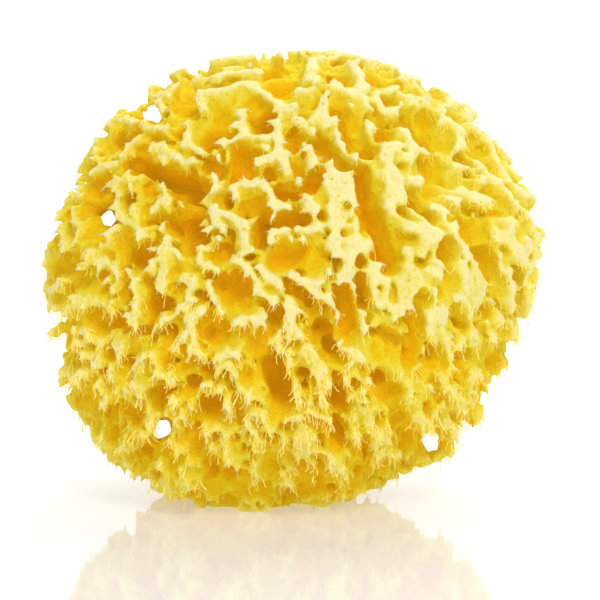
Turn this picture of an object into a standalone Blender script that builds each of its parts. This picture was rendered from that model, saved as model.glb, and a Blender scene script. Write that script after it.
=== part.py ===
"""A natural bath sponge, grown as one piece and cut off flat where it stood.

Metres, +Z up, the front faces -Y, and the origin is the centre of the flat cut.
The skin is left standing as pale ridges and stars between rounded bowls, deeper
holes sink between them, and a few canals run right through near the rim.
"""
import math

import bmesh
import bpy
import numpy as np
from mathutils import Vector

MM = 0.001

# The whole form: its outline seen from the front, its thickness and its height.
# The outline's radii go counter-clockwise from the right, one every 15 degrees.
OUTLINE = [67.7, 72.4, 69.5, 69.2, 66.4, 66.3, 64.7, 65.8, 68.1, 68.4, 67.8, 68.9,
           69.4, 69.7, 71.2, 71.0, 70.3, 66.5, 63.4, 63.1, 61.8, 65.3, 63.9, 64.2]
HALF_DEPTH = 57 * MM
CENTRE_HEIGHT = 60 * MM
CENTRE_RIGHT = 9 * MM
CENTRE_BACK = 4 * MM
LEAN_BACK = math.radians(8)
VIEWED_FROM = 900 * MM
BROAD_LUMP = 2.2 * MM
BROAD_LUMP_WIDTH = 26 * MM
SMALL_LUMP = 1.0 * MM
SMALL_LUMP_WIDTH = 11 * MM
LATTICE_REACH = 95 * MM

# Ridges of skin on the front: width, then across and up for each bend, in mm.
RIDGES = [
    (1.4, -55, 34, -53, 34, -50, 34), (1.1, -56, 39, -55, 36),
    (1.7, -48, 37, -47, 39, -45, 40, -43, 42), (1.1, -47, 47, -45, 47, -42, 45, -40, 45),
    (1.4, -40, 47, -38, 45, -35, 45, -32, 46), (1.4, -38, 52, -36, 50),
    (1.4, -39, 53, -34, 54, -32, 55), (1.4, -31, 47, -30, 43, -27, 39), (1.1, -30, 43, -31, 41),
    (1.9, -25, 53, -25, 49), (1.7, -39, 39, -37, 40, -35, 39, -33, 37, -30, 37),
    (1.4, -36, 39, -37, 37, -37, 34), (1.7, -51, 28, -48, 30, -46, 30, -43, 31, -41, 33),
    (1.1, -51, 28, -50, 25, -51, 23), (1.1, -46, 30, -46, 25), (2.8, -36, 27, -36, 24),
    (1.1, -36, 27, -38, 29), (1.1, -37, 25, -40, 22), (1.1, -36, 27, -35, 30), (2.2, -25, 30, -23, 28),
    (1.4, -61, 28, -60, 25), (1.4, -60, 30, -62, 29, -62, 25), (1.4, -47, 23, -45, 21),
    (0.8, -22, 60, -15, 60, -12, 60), (1.4, -22, 63, -15, 63, -4, 64), (1.7, -26, 57, -17, 58, -9, 58),
    (1.7, -22, 53, -17, 54, -10, 55, -8, 54), (1.1, -8, 54, -6, 52),
    (1.9, -16, 49, -14, 47, -16, 45, -14, 44), (1.7, -21, 40, -19, 40, -16, 41, -14, 42, -14, 44),
    (1.1, -21, 40, -21, 37), (2.2, -5, 50, -1, 49, 0, 48, 2, 45), (1.9, -5, 50, -4, 46, -5, 42),
    (2.2, -5, 42, -5, 39, -4, 37, -2, 34), (1.7, -5, 38, -8, 36, -11, 35), (1.1, -3, 37, -1, 37),
    (1.1, -13, 45, -12, 43, -9, 42, -6, 43), (0.8, -10, 40, -9, 39), (1.7, 1, 52, 5, 52, 7, 50, 6, 47),
    (2.2, 5, 61, 5, 55), (2.8, 5, 55, 10, 54, 14, 53), (2.5, 7, 63, 14, 64, 17, 60, 18, 53),
    (2.8, 18, 53, 20, 48, 21, 44), (2.5, 4, 47, 7, 45, 11, 46, 12, 49), (1.7, 11, 46, 12, 42, 13, 39),
    (1.9, 2, 45, 4, 42, 4, 37), (2.2, 4, 37, 6, 35, 10, 33, 14, 32, 17, 29), (1.4, 2, 32, 2, 28, 2, 25),
    (1.4, 4, 26, 5, 22), (5.5, 14, 30, 15, 27, 14, 22), (1.7, -14, 30, -11, 30, -9, 28),
    (1.4, -9, 28, -7, 25, -6, 22), (1.4, -16, 30, -17, 27, -16, 26), (1.1, 12, 39, 16, 36, 19, 32),
    (1.1, 20, 51, 22, 53, 25, 54), (1.1, 22, 52, 24, 50), (0.8, 22, 39, 25, 40),
    (1.4, 25, 54, 29, 56, 33, 58), (1.7, 33, 58, 35, 54), (1.7, 29, 53, 32, 52, 34, 50),
    (1.4, 25, 49, 29, 50), (1.4, 29, 48, 30, 46, 32, 42, 36, 39, 40, 40), (1.7, 35, 51, 39, 50, 42, 48),
    (1.7, 42, 50, 45, 51), (1.1, 42, 48, 43, 45), (1.9, 44, 46, 46, 44, 47, 41, 47, 38),
    (1.7, 46, 50, 48, 48, 49, 45), (3.3, 26, 37, 27, 32, 27, 26, 25, 22),
    (2.2, 26, 39, 29, 40, 32, 39, 33, 35), (1.1, 33, 30, 36, 30), (2.2, 29, 30, 30, 25),
    (1.4, 47, 34, 51, 35, 53, 33), (1.9, 53, 33, 56, 31, 58, 28, 60, 23),
    (1.9, 51, 43, 55, 40, 57, 36, 60, 30), (1.1, 61, 33, 64, 31), (1.4, 62, 28, 65, 25, 68, 26),
    (2.2, 46, 28, 49, 26, 52, 24), (2.2, 44, 25, 47, 23), (1.7, 51, 30, 54, 30),
    (1.4, -66, 21, -65, 15, -63, 11), (1.4, -62, 21, -60, 17, -60, 12),
    (1.7, -51, 22, -49, 19, -47, 17), (1.9, -46, 22, -45, 18), (1.4, -47, 17, -48, 12),
    (1.9, -45, 18, -43, 16, -42, 12, -42, 9), (1.7, -57, 9, -55, 10, -53, 13, -51, 16),
    (1.9, -57, 6, -55, 7, -53, 7), (1.4, -55, 7, -54, 2), (1.4, -53, 7, -51, 4, -51, 0),
    (1.4, -66, 0, -65, 1, -63, 2), (1.1, -69, -3, -66, 0), (1.4, -62, -6, -60, -4, -57, -4),
    (1.7, -60, -2, -55, -3, -53, -5, -53, -8), (1.1, -53, -5, -51, -4),
    (1.4, -47, 3, -45, 5, -43, 6, -40, 6, -39, 9), (1.7, -44, 5, -45, 1, -45, -3, -45, -8),
    (1.9, -38, 18, -36, 16, -35, 13, -36, 9, -35, 6, -36, 1, -37, -1), (1.1, -35, 14, -34, 16),
    (1.4, -36, 9, -38, 8, -39, 4), (1.4, -35, 10, -32, 8), (1.9, -50, -11, -47, -9, -45, -9, -44, -13),
    (1.7, -45, -9, -42, -11), (1.4, -60, -12, -57, -11), (2.2, -57, -12, -57, -17, -58, -21),
    (1.4, -57, -16, -61, -15), (1.4, -55, -14, -55, -18, -56, -22), (1.7, -53, -18, -50, -17, -51, -20),
    (1.4, -38, -12, -36, -9, -34, -7, -32, -5), (2.2, -28, 15, -27, 11, -26, 7, -24, 5, -23, 1),
    (1.1, -27, 11, -25, 9), (0.8, -27, 14, -25, 16, -23, 15),
    (1.9, -31, 1, -29, 2, -29, -1, -30, -6, -30, -11, -32, -16), (1.4, -25, -1, -24, -6, -22, -8),
    (1.4, -29, -8, -28, -14, -27, -19), (0.8, -33, -18, -32, -17, -29, -18),
    (1.7, -44, -22, -42, -20, -40, -20), (1.4, -42, -20, -41, -23), (1.4, -22, 22, -21, 18, -20, 13),
    (1.1, -22, 21, -19, 21, -16, 19, -12, 16), (2.2, -14, 17, -14, 12, -16, 10, -17, 7),
    (1.1, -16, 10, -11, 11), (1.9, -17, 7, -15, 5, -13, 3, -11, 1, -9, -2, -5, -5),
    (1.1, -13, 6, -14, 5), (1.4, -9, 5, -6, 3, -4, 1), (1.9, -7, 22, -7, 18), (2.2, -7, 22, -2, 21),
    (1.4, -7, 17, -6, 12), (2.2, -6, 15, -3, 16, 0, 17, 1, 14, 2, 9),
    (1.9, 1, 18, 4, 16, 7, 17, 10, 16, 11, 14), (1.4, 6, 22, 6, 19), (4.4, 12, 21, 12, 15, 11, 12),
    (3.9, 14, 14, 17, 16, 19, 12, 17, 9), (2.5, 11, 11, 14, 7, 16, 3, 17, -2), (1.1, 12, 6, 13, 2),
    (1.1, 10, 5, 12, 4), (3.3, 1, 5, 3, 1, 6, -1, 8, -4, 11, -6), (1.4, -1, 5, 1, 3), (0.8, 5, 2, 8, 3),
    (1.4, 7, -2, 12, -1), (1.4, 11, -6, 14, -5), (1.4, 11, -6, 12, -10), (1.9, -3, -5, -1, -4, 1, -6),
    (2.8, 0, -6, 0, -10, 0, -12, -1, -16, -2, -19), (2.5, 0, -12, 3, -15, 4, -18, 6, -23),
    (1.7, -14, -4, -14, -7, -15, -10), (1.9, -14, -7, -11, -9, -8, -9),
    (1.4, -11, -9, -9, -12, -6, -13), (0.8, -16, -8, -17, -11), (1.4, 18, -8, 20, -8, 21, -6),
    (1.9, 19, -9, 18, -12, 17, -16), (1.1, 21, -9, 21, -14), (3.3, 22, 5, 23, 2, 24, -3),
    (2.2, 14, -15, 15, -18, 14, -22), (1.7, 17, -18, 19, -22), (1.4, -22, -21, -19, -20, -15, -20),
    (1.4, -3, -18, -1, -22), (2.2, 29, 21, 30, 18, 33, 15, 35, 13, 38, 12), (1.4, 27, 21, 29, 19),
    (4.4, 29, 9, 30, 6, 31, 0, 32, -6), (1.9, 33, 21, 36, 15, 39, 13),
    (3.0, 40, 21, 43, 17, 45, 12, 48, 8, 50, 5, 53, 1), (5.0, 47, 6, 48, 1, 50, -4),
    (1.4, 34, 10, 37, 8, 40, 5), (1.1, 35, 5, 38, 3), (2.2, 44, -3, 46, -7, 48, -11, 51, -15),
    (3.3, 37, -3, 39, -7, 41, -11, 43, -14, 46, -16), (2.2, 36, -6, 36, -12),
    (2.5, 25, 5, 25, 0, 27, -5), (1.4, 27, -5, 29, -9), (1.4, 34, -17, 34, -22),
    (2.2, 42, -15, 43, -19, 43, -23), (0.8, 38, -14, 39, -13), (2.2, 57, 15, 60, 13, 62, 10, 65, 7),
    (2.2, 58, 20, 61, 16), (2.2, 62, 22, 66, 19, 68, 14), (1.4, 58, 8, 59, 5),
    (2.2, 65, 12, 68, 9, 66, 5, 65, 1, 66, -3), (2.8, 60, 4, 61, -3, 62, -8, 63, -16),
    (1.4, 57, -6, 58, -11), (1.4, 54, -11, 57, -16), (1.4, -65, -23, -63, -25),
    (1.4, -63, -27, -59, -25), (1.7, -55, -29, -54, -34), (1.1, -53, -23, -53, -27),
    (1.7, -51, -31, -48, -30), (1.9, -46, -28, -44, -31), (1.9, -39, -24, -36, -27, -34, -25),
    (1.9, -34, -32, -32, -35, -32, -39), (1.7, -44, -36, -43, -40, -42, -43), (1.4, -40, -36, -37, -37),
    (1.7, -35, -36, -33, -40), (0.8, -49, -44, -50, -47), (1.1, -29, -33, -28, -36),
    (1.4, -25, -44, -24, -47), (2.2, -37, -51, -36, -55, -35, -58), (2.2, -40, -55, -37, -60),
    (2.2, -32, -52, -29, -57), (1.7, -25, -29, -23, -31), (1.1, -36, -44, -34, -47),
    (1.9, -22, -24, -18, -23, -16, -25), (1.4, -19, -27, -21, -31), (2.2, -15, -29, -13, -32, -12, -35),
    (2.2, -23, -42, -20, -45, -19, -49), (1.1, -19, -35, -17, -36), (1.7, -14, -37, -13, -42, -11, -46),
    (1.9, -10, -35, -9, -39, -7, -42), (1.4, -19, -49, -18, -53), (1.4, -12, -48, -12, -53, -11, -56),
    (2.2, 0, -28, 1, -32, 3, -35), (3.9, -1, -36, 0, -40, 4, -43, 9, -46),
    (2.2, 3, -33, 7, -36, 10, -39), (1.4, -3, -42, -4, -46), (3.3, 1, -44, 4, -50),
    (2.2, 8, -28, 8, -32), (1.4, 7, -25, 11, -28), (1.7, 14, -27, 15, -31),
    (1.1, 15, -34, 16, -37, 17, -40, 18, -45), (1.9, 19, -25, 20, -29), (2.2, 19, -33, 21, -38),
    (2.8, 22, -36, 24, -44, 24, -50), (2.2, 10, -48, 13, -53), (1.7, -4, -53, -1, -56),
    (1.4, 30, -24, 31, -28, 32, -32), (1.9, 34, -24, 36, -29), (1.7, 40, -25, 42, -32, 40, -34),
    (3.3, 25, -40, 26, -45, 29, -49), (2.2, 44, -30, 49, -34), (2.8, 35, -36, 39, -39, 40, -42),
    (2.8, 50, -25, 51, -32), (2.8, 44, -39, 46, -45),
]

# Holes on the front: across, up, width, depth, in mm.
PITS = [
    (-4, 58, 7, 7), (13, 58, 4.5, 7), (-1, 54, 5, 7), (26, 52, 3, 5), (-8, 48, 7, 14),
    (-32, 47, 2.5, 5), (20, 47, 3.5, 5), (46, 47, 4, 4), (34, 46, 7.5, 10), (-33, 45, 3.5, 6),
    (26, 45, 4.5, 9), (-45, 44, 6, 7), (-24, 43, 7, 12), (-17, 43, 4.5, 7), (1, 42, 5.5, 6),
    (39, 42, 7, 10), (-54, 39, 4.5, 4), (21, 39, 5.5, 8), (-15, 37, 6, 8), (48, 36, 4.5, 6),
    (1, 35, 4, 5), (32, 34, 2.5, 4), (60, 33, 3.5, 4), (-18, 32, 5.5, 8), (-9, 31, 3, 8),
    (7, 31, 7, 8), (45, 30, 4, 6), (-19, 25, 4, 14), (35, 24, 6, 10), (-48, 24, 5, 7), (-43, 22, 2, 5),
    (-60, 22, 5, 4), (30, 21, 3, 6), (63, 20, 4, 4), (8, 20, 2.5, 5), (25, 20, 2.5, 8),
    (38, 19, 4.5, 11), (-38, 18, 4, 9), (-33, 17, 6.5, 14), (50, 15, 8.5, 7), (-29, 14, 7.5, 15),
    (-30, 11, 5, 13), (-20, 11, 6, 7), (4, 10, 2.5, 6), (41, 9, 7, 10), (-13, 8, 2.5, 7),
    (12, 7, 3, 10), (19, 7, 3.5, 8), (63, 4, 2, 4), (41, 3, 4.5, 6), (-25, 2, 2.5, 7),
    (-55, 1, 4.5, 8), (39, -1, 4.5, 6), (-28, -4, 2.5, 6), (4, -6, 2.5, 7), (-57, -7, 4, 6),
    (10, -9, 3.5, 8), (-45, -14, 5, 8), (22, -14, 4, 7), (-36, -15, 5.5, 10), (-25, -15, 3.5, 7),
    (9, -15, 5.5, 13), (-7, -15, 5.5, 6), (-63, -16, 3, 5), (54, -17, 2, 5), (-31, -18, 2.5, 6),
    (38, -19, 5.5, 8), (-54, -19, 3.5, 6), (12, -20, 5.5, 13), (48, -21, 3, 7), (-4, -21, 4, 11),
    (-49, -23, 5, 9), (-26, -25, 5.5, 12), (3, -27, 3.5, 8), (45, -27, 2, 6), (17, -28, 4, 11),
    (25, -28, 6, 9), (-38, -29, 6.5, 12), (-19, -29, 2.5, 6), (54, -29, 2.5, 5), (-30, -30, 5.5, 12),
    (-40, -34, 4.5, 10), (38, -34, 4, 6), (-14, -35, 3.5, 9), (41, -36, 4, 6), (-25, -38, 7, 14),
    (4, -38, 3.5, 10), (-11, -39, 4, 10), (32, -39, 4, 10), (-44, -40, 3, 7), (12, -42, 5.5, 13),
    (-47, -44, 3.5, 8), (-29, -45, 6, 7), (-23, -45, 4, 11), (-52, -45, 3, 6), (-36, -47, 3, 9),
    (-8, -47, 4, 9), (-14, -49, 3.5, 8), (-45, -50, 5.5, 8), (30, -51, 4, 6), (-39, -54, 4, 8),
    (8, -55, 3.5, 8), (15, -55, 2.5, 5), (-19, -58, 5.5, 8), (-2, -60, 6, 7), (-9, -60, 3.5, 6),
]

# Long holes on the front: across and up of both ends, width, depth, in mm.
GROOVES = [
    (-31, 55, -18, 55, 3, 6), (-23, 60, -9, 61, 2.5, 5), (21, 58, 29, 56, 3.5, 6),
    (11, 49, 16, 39, 3.5, 8), (7, 40, 15, 34, 4, 7), (-47, 34, -36, 32, 5.5, 14),
    (-54, 30, -54, 24, 5.5, 9), (-34, 29, -27, 27, 6, 14), (-4, 27, 1, 27, 4.5, 9),
    (20, 33, 22, 22, 4.5, 12), (49, 22, 58, 21, 3, 6), (-55, 19, -55, 13, 4.5, 12),
    (-9, 19, -9, 13, 4.5, 14), (-4, 18, 3, 19, 4, 11), (24, 19, 27, 5, 5, 12),
    (-47, 9, -42, 8, 6.5, 10), (-65, 5, -59, 6, 4.5, 6), (-4, 8, 2, 9, 5.5, 6),
    (55, 8, 56, -1, 6.5, 8), (-49, 4, -48, -2, 4, 9), (-41, 2, -41, -14, 4.5, 12),
    (-21, -1, -15, -1, 6, 6), (-55, -11, -49, -11, 5.5, 6), (-1, 1, 5, -6, 4, 7),
    (14, -2, 16, -13, 6, 9), (19, 2, 21, -7, 3.5, 9), (43, -5, 47, -12, 3, 10),
    (33, -8, 33, -20, 4, 8), (-5, -7, -5, -12, 4, 8), (24, -14, 29, -16, 4, 10),
    (-5, -27, -4, -34, 7, 14), (12, -29, 13, -35, 6, 13), (6, -39, 14, -46, 4, 10),
    (32, -48, 39, -47, 3.5, 7), (20, -46, 21, -52, 2, 7), (-25, -52, -25, -57, 3.5, 9),
]

# Canals that run right through near the rim: across, up, width, in mm.
CANALS = [(-40, 48, 3.5), (-52, 18, 3.0), (-65, -9, 3.0), (-37, -41, 3.5), (39, -44, 2.5)]

# What grows where the front's lists end, each between two limits in mm.
SEED = 4
FRONT_ENDS_AT = 0.30
RIDGE_TRIES = 3000
RIDGE_GAP = (7.5, 10.5)
RIDGE_WIDTH = (1.2, 2.6)
RIDGE_STEP = (2.5, 4.5)
RIDGE_BEND = 0.7
ARM_SHARE = 0.6
ARM_LENGTH = (3.0, 5.0)
ARM_WIDTH_SHARE = 0.8
HOLE_TRIES = 6000
HOLE_GAP = (10.0, 13.0)
HOLE_WIDTH = (5.0, 8.6)
HOLE_DEPTH = (6, 14)
LONG_HOLE_SHARE = 0.35
LONG_HOLE_STRETCH = (0, 7)

# Bowls fill the room that the ridges leave. The cut underneath stays whole.
BOWL_PLACES = 14000
BOWL_SHIFT = 0.8 * MM
BOWL_FIT = (0.9, 1.12)
BOWL_VARIETY = (0.6, 1.0)
BOWL_GAP_TO_LARGER = 0.72
BOWL_GAP_TO_SMALLER = 0.42
SMALLEST_BOWL_FRONT = 3.3 * MM
SMALLEST_BOWL_BACK = 3.6 * MM
LARGEST_BOWL = 5.6 * MM
BOWL_DEPTH_SHARE = 1.25
SMALLEST_HOLE = 3.4
HOLE_FLARE = 0.7 * MM
SOFT_EDGE = 1.0 * MM
MARK_STEP = 0.8 * MM
BASE_RIM = 14 * MM
BASE_MARGIN = 4 * MM

# The mesh: a fine ball that is thinned, and the rods and the block that cut it.
BALL_LEVELS = 8
TRIANGLES = 8900
CANAL_SIDES = 8
CANAL_REACH = 80 * MM
CUTTER_SIZE = 200 * MM

CENTRE = np.array([CENTRE_RIGHT, CENTRE_BACK, CENTRE_HEIGHT])
ACROSS = np.array([1.0, 0.0, 0.0])
UP = np.array([0.0, math.sin(LEAN_BACK), math.cos(LEAN_BACK)])
FORWARD = np.array([0.0, -math.cos(LEAN_BACK), math.sin(LEAN_BACK)])


def outline_radius(across, up):
    """The outline's radius towards a point, with a smooth curve through OUTLINE."""
    count = len(OUTLINE)
    turn = np.arctan2(up, across) / (2 * math.pi) * count
    first = np.floor(turn).astype(int)
    t = turn - first
    a, b, c, d = (np.take(OUTLINE, first + step, mode="wrap") for step in (-1, 0, 1, 2))
    curve = b + 0.5 * t * (c - a + t * (2 * a - 5 * b + 4 * c - d + t * (3 * (b - c) + d - a)))
    return curve * MM


def value_noise(points, wavelength, seed):
    """Smooth noise of about unit height, from seeded values on a lattice."""
    count = int(2 * LATTICE_REACH / wavelength) + 3
    lattice = np.random.default_rng(seed).standard_normal([count] * 3)
    place = (points - CENTRE + LATTICE_REACH) / wavelength
    first = np.floor(place).astype(int)
    t = place - first
    t = t * t * (3 - 2 * t)
    total = 0.0
    for corner in range(8):
        step = np.array([corner & 1, corner >> 1 & 1, corner >> 2 & 1])
        share = np.prod(np.where(step, t, 1 - t), axis=1)
        i, j, k = (first + step).T
        total = total + share * lattice[i, j, k]
    return total


def skin_share(points):
    """0 on the outer skin, below 0 inside: the share of the way out, less one."""
    away = points - CENTRE
    across, up, forward = away @ ACROSS, away @ UP, away @ FORWARD
    flat = np.hypot(across, up) / outline_radius(across, up)
    return np.hypot(flat, forward / HALF_DEPTH) - 1


def lumps(points):
    """How far the skin swells out. The rim stays on the outline."""
    forward = np.abs((points - CENTRE) @ FORWARD) / HALF_DEPTH
    height = BROAD_LUMP * value_noise(points, BROAD_LUMP_WIDTH, 1)
    height = height + SMALL_LUMP * value_noise(points, SMALL_LUMP_WIDTH, 2)
    return height * np.clip(1.5 * forward, 0.15, 1.0)


def on_skin(directions):
    """Where rays from the centre leave the skin."""
    directions = directions / np.linalg.norm(directions, axis=1)[:, None]
    near = np.zeros(len(directions))
    far = np.full(len(directions), 0.1)
    for _ in range(22):
        middle = (near + far) / 2
        inside = skin_share(CENTRE + directions * middle[:, None]) < 0
        near = np.where(inside, middle, near)
        far = np.where(inside, far, middle)
    points = CENTRE + directions * near[:, None]
    return points + directions * lumps(points)[:, None]


def on_front(across, up):
    """The skin point that is seen at a place on the front, given in mm."""
    forward = 0.0
    for _ in range(5):
        nearer = 1 - forward / VIEWED_FROM
        a, u = across * MM * nearer, up * MM * nearer
        share = math.hypot(a, u) / float(outline_radius(a, u))
        forward = HALF_DEPTH * math.sqrt(max(0.03, 1 - share ** 2))
    return on_skin((ACROSS * a + UP * u + FORWARD * forward)[None])[0]


def unit(vector):
    return vector / np.linalg.norm(vector)


def away_from(taken, point):
    return np.min(np.linalg.norm(np.array(taken) - point, axis=1))


def walk(start, heading, rng):
    """A wandering line of skin points."""
    points = [start]
    for _ in range(rng.integers(2, 5)):
        turn = rng.uniform(-RIDGE_BEND, RIDGE_BEND)
        outward = unit(points[-1] - CENTRE)
        heading = unit(heading * math.cos(turn) + np.cross(outward, heading) * math.sin(turn))
        reach = points[-1] + heading * rng.uniform(*RIDGE_STEP) * MM
        points.append(on_skin((reach - CENTRE)[None])[0])
    return points, heading


def on_listed_front(point):
    return (point - CENTRE) @ FORWARD > FRONT_ENDS_AT * HALF_DEPTH


def all_ridges(rng):
    """Every ridge of skin as (width, points): the front's, then the others."""
    found = []
    for width, *places in RIDGES:
        found.append((width * MM, [on_front(*p) for p in zip(places[::2], places[1::2])]))
    taken = [p for _, points in found for p in points]
    for start in on_skin(rng.standard_normal((RIDGE_TRIES, 3))):
        gap = rng.uniform(*RIDGE_GAP) * MM
        if on_listed_front(start) or away_from(taken, start) < gap:
            continue
        outward = unit(start - CENTRE)
        heading = unit(np.cross(outward, rng.standard_normal(3)))
        width = rng.uniform(*RIDGE_WIDTH) * MM
        points, heading = walk(start, heading, rng)
        found.append((width, points))
        taken.extend(points)
        if rng.random() < ARM_SHARE:
            middle = points[len(points) // 2]
            side = np.cross(outward, heading) * rng.choice([-1, 1])
            reach = middle + side * rng.uniform(*ARM_LENGTH) * MM
            tip = on_skin((reach - CENTRE)[None])[0]
            found.append((ARM_WIDTH_SHARE * width, [middle, tip]))
            taken.append(tip)
    return found


def ridge_marks(ridges):
    """Closely spaced points along the ridges, each with the ridge's half width there."""
    marks = [np.zeros(3)]
    halves = [BASE_RIM]
    for width, points in ridges:
        for a, b in zip(points, points[1:]):
            count = max(1, int(np.linalg.norm(b - a) / MARK_STEP))
            marks += [a + (b - a) * k / count for k in range(count + 1)]
            halves += [width / 2] * (count + 1)
    return np.array(marks), np.array(halves)


def all_holes(rng):
    """Every hole as (start, end, radius, depth): the front's, then the others."""
    found = []
    for across, up, width, depth in PITS:
        place = on_front(across, up)
        found.append((place, place, width / 2 * MM, depth * MM))
    for across, up, across_2, up_2, width, depth in GROOVES:
        ends = on_front(across, up), on_front(across_2, up_2)
        found.append((*ends, width / 2 * MM, depth * MM))
    taken = [(start + end) / 2 for start, end, _, _ in found]
    for place in on_skin(rng.standard_normal((HOLE_TRIES, 3))):
        gap = rng.uniform(*HOLE_GAP) * MM
        if on_listed_front(place) or away_from(taken, place) < gap:
            continue
        if np.linalg.norm(place) < BASE_RIM + BASE_MARGIN:
            continue
        taken.append(place)
        side = unit(np.cross(place - CENTRE, rng.standard_normal(3)))
        half = rng.uniform(*LONG_HOLE_STRETCH) / 2 * MM * (rng.random() < LONG_HOLE_SHARE)
        radius = rng.uniform(*HOLE_WIDTH) / 2 * MM
        depth = rng.uniform(*HOLE_DEPTH) * MM
        found.append((place - side * half, place + side * half, radius, depth))
    return found


def bowls(rng, marks, halves):
    """Bowls that fill the room between the ridges, largest first."""
    step = np.arange(BOWL_PLACES) + 0.5
    height = 1 - 2 * step / BOWL_PLACES
    turn = step * math.pi * (3 - math.sqrt(5))
    ring = np.sqrt(1 - height ** 2)
    places = on_skin(np.stack([ring * np.cos(turn), ring * np.sin(turn), height], 1))
    places = places + rng.uniform(-BOWL_SHIFT, BOWL_SHIFT, places.shape)
    room = np.concatenate([
        np.min(np.linalg.norm(part[:, None] - marks[None], axis=2) - halves[None], axis=1)
        for part in np.array_split(places, 20)])
    size = np.minimum(room * rng.uniform(*BOWL_FIT, len(room)),
                      LARGEST_BOWL * rng.uniform(*BOWL_VARIETY, len(room)))
    kept = []
    for i in np.argsort(-size):
        faces_front = (places[i] - CENTRE) @ FORWARD > 0
        if size[i] < (SMALLEST_BOWL_FRONT if faces_front else SMALLEST_BOWL_BACK):
            continue
        if kept:
            gap = np.linalg.norm(places[kept] - places[i], axis=1)
            least = BOWL_GAP_TO_LARGER * size[kept] + BOWL_GAP_TO_SMALLER * size[i]
            if np.any(gap < least):
                continue
        kept.append(i)
    return places[kept], size[kept]


def smooth_max(a, b, blend):
    h = np.maximum(blend - np.abs(a - b), 0) / blend
    return np.maximum(a, b) + h * h * blend / 4


def sink(points):
    """How deep the surface lies below each skin point."""
    rng = np.random.default_rng(SEED)
    ridges = all_ridges(rng)
    holes = all_holes(rng)
    places, sizes = bowls(rng, *ridge_marks(ridges))
    depth = np.zeros(len(points))
    for place, size in zip(places, sizes):
        share = np.sum((points - place) ** 2, axis=1) / size ** 2
        near = share < 1
        bowl = BOWL_DEPTH_SHARE * size * np.sqrt(1 - share[near])
        depth[near] = smooth_max(depth[near], bowl, SOFT_EDGE)
    for start, end, radius, hole_depth in holes:
        if 2 * radius < SMALLEST_HOLE * MM:
            continue
        radius = radius + HOLE_FLARE
        run = end - start
        along = np.clip((points - start) @ run / max(run @ run, 1e-12), 0, 1)
        share = np.sum((points - start - along[:, None] * run) ** 2, axis=1) / radius ** 2
        near = share < 1
        hole = hole_depth * np.sqrt(1 - share[near] ** 2)
        depth[near] = smooth_max(depth[near], hole, SOFT_EDGE)
    print("ridges", len(ridges), "holes", len(holes), "bowls", len(sizes))
    return depth


def material():
    made = bpy.data.materials.new("Sponge")
    made.use_nodes = True
    shader = made.node_tree.nodes["Principled BSDF"]
    shader.inputs["Base Color"].default_value = (0.78, 0.53, 0.09, 1)
    shader.inputs["Roughness"].default_value = 0.8
    shader.inputs["Metallic"].default_value = 0.0
    return made


def sponge_mesh():
    """A ball of small triangles, pushed out to the skin and sunk into its holes."""
    mesh = bpy.data.meshes.new("sea_sponge")
    shape = bmesh.new()
    bmesh.ops.create_icosphere(shape, subdivisions=BALL_LEVELS, radius=1)
    shape.to_mesh(mesh)
    shape.free()
    places = np.empty(len(mesh.vertices) * 3, dtype=np.float32)
    mesh.vertices.foreach_get("co", places)
    directions = places.reshape(-1, 3).astype(float)
    skin = on_skin(directions)
    surface = skin - directions * sink(skin)[:, None]
    mesh.vertices.foreach_set("co", surface.astype(np.float32).ravel())
    mesh.update()
    return mesh


def as_cutter(cutter):
    cutter.hide_render = True
    cutter.display_type = "WIRE"
    return cutter


def cut(target, cutter):
    step = target.modifiers.new(cutter.name, "BOOLEAN")
    step.operation = "DIFFERENCE"
    step.solver = "EXACT"
    step.object = cutter


def canal_cutter(index, across, up, width):
    """A thin rod along the line of sight, through the form near its rim."""
    entry = on_front(across, up)
    along = Vector(unit(entry - CENTRE - FORWARD * VIEWED_FROM))
    mesh = bpy.data.meshes.new("canal_%d" % index)
    shape = bmesh.new()
    bmesh.ops.create_cone(shape, cap_ends=True, segments=CANAL_SIDES, depth=2 * CANAL_REACH,
                          radius1=width / 2 * MM, radius2=width / 2 * MM)
    shape.to_mesh(mesh)
    shape.free()
    cutter = bpy.data.objects.new("canal_%d" % index, mesh)
    cutter.rotation_mode = "QUATERNION"
    cutter.rotation_quaternion = along.to_track_quat("Z", "Y")
    cutter.location = entry
    return as_cutter(cutter)


def base_cutter():
    """A block whose top is the level where the sponge was cut off."""
    mesh = bpy.data.meshes.new("base_cut")
    shape = bmesh.new()
    bmesh.ops.create_cube(shape, size=CUTTER_SIZE)
    shape.to_mesh(mesh)
    shape.free()
    cutter = bpy.data.objects.new("base_cut", mesh)
    cutter.location = (0, 0, -CUTTER_SIZE / 2)
    return as_cutter(cutter)


def main():
    for old in list(bpy.data.objects):
        bpy.data.objects.remove(old)
    mesh = sponge_mesh()
    mesh.materials.append(material())
    mesh.shade_smooth()
    sponge = bpy.data.objects.new("sea_sponge", mesh)
    thin = sponge.modifiers.new("thin", "DECIMATE")
    thin.ratio = TRIANGLES / len(mesh.polygons)
    cutters = [base_cutter()]
    cutters += [canal_cutter(i, *canal) for i, canal in enumerate(CANALS)]
    for cutter in cutters:
        cut(sponge, cutter)
    for each in [sponge, *cutters]:
        bpy.context.scene.collection.objects.link(each)


main()
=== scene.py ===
# %% [markdown]
# # A natural bath sponge
# The real thing is the soft skeleton of an animal: one rounded body full of
# canals, with a torn pale skin left standing between its holes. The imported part
# gives its size and its larger ridges and holes. This lesson grows the finer
# surface over the same form, with the same lists of ridges and holes, and then
# gives it its pores, hairs and colours.

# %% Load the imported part
import math

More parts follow.
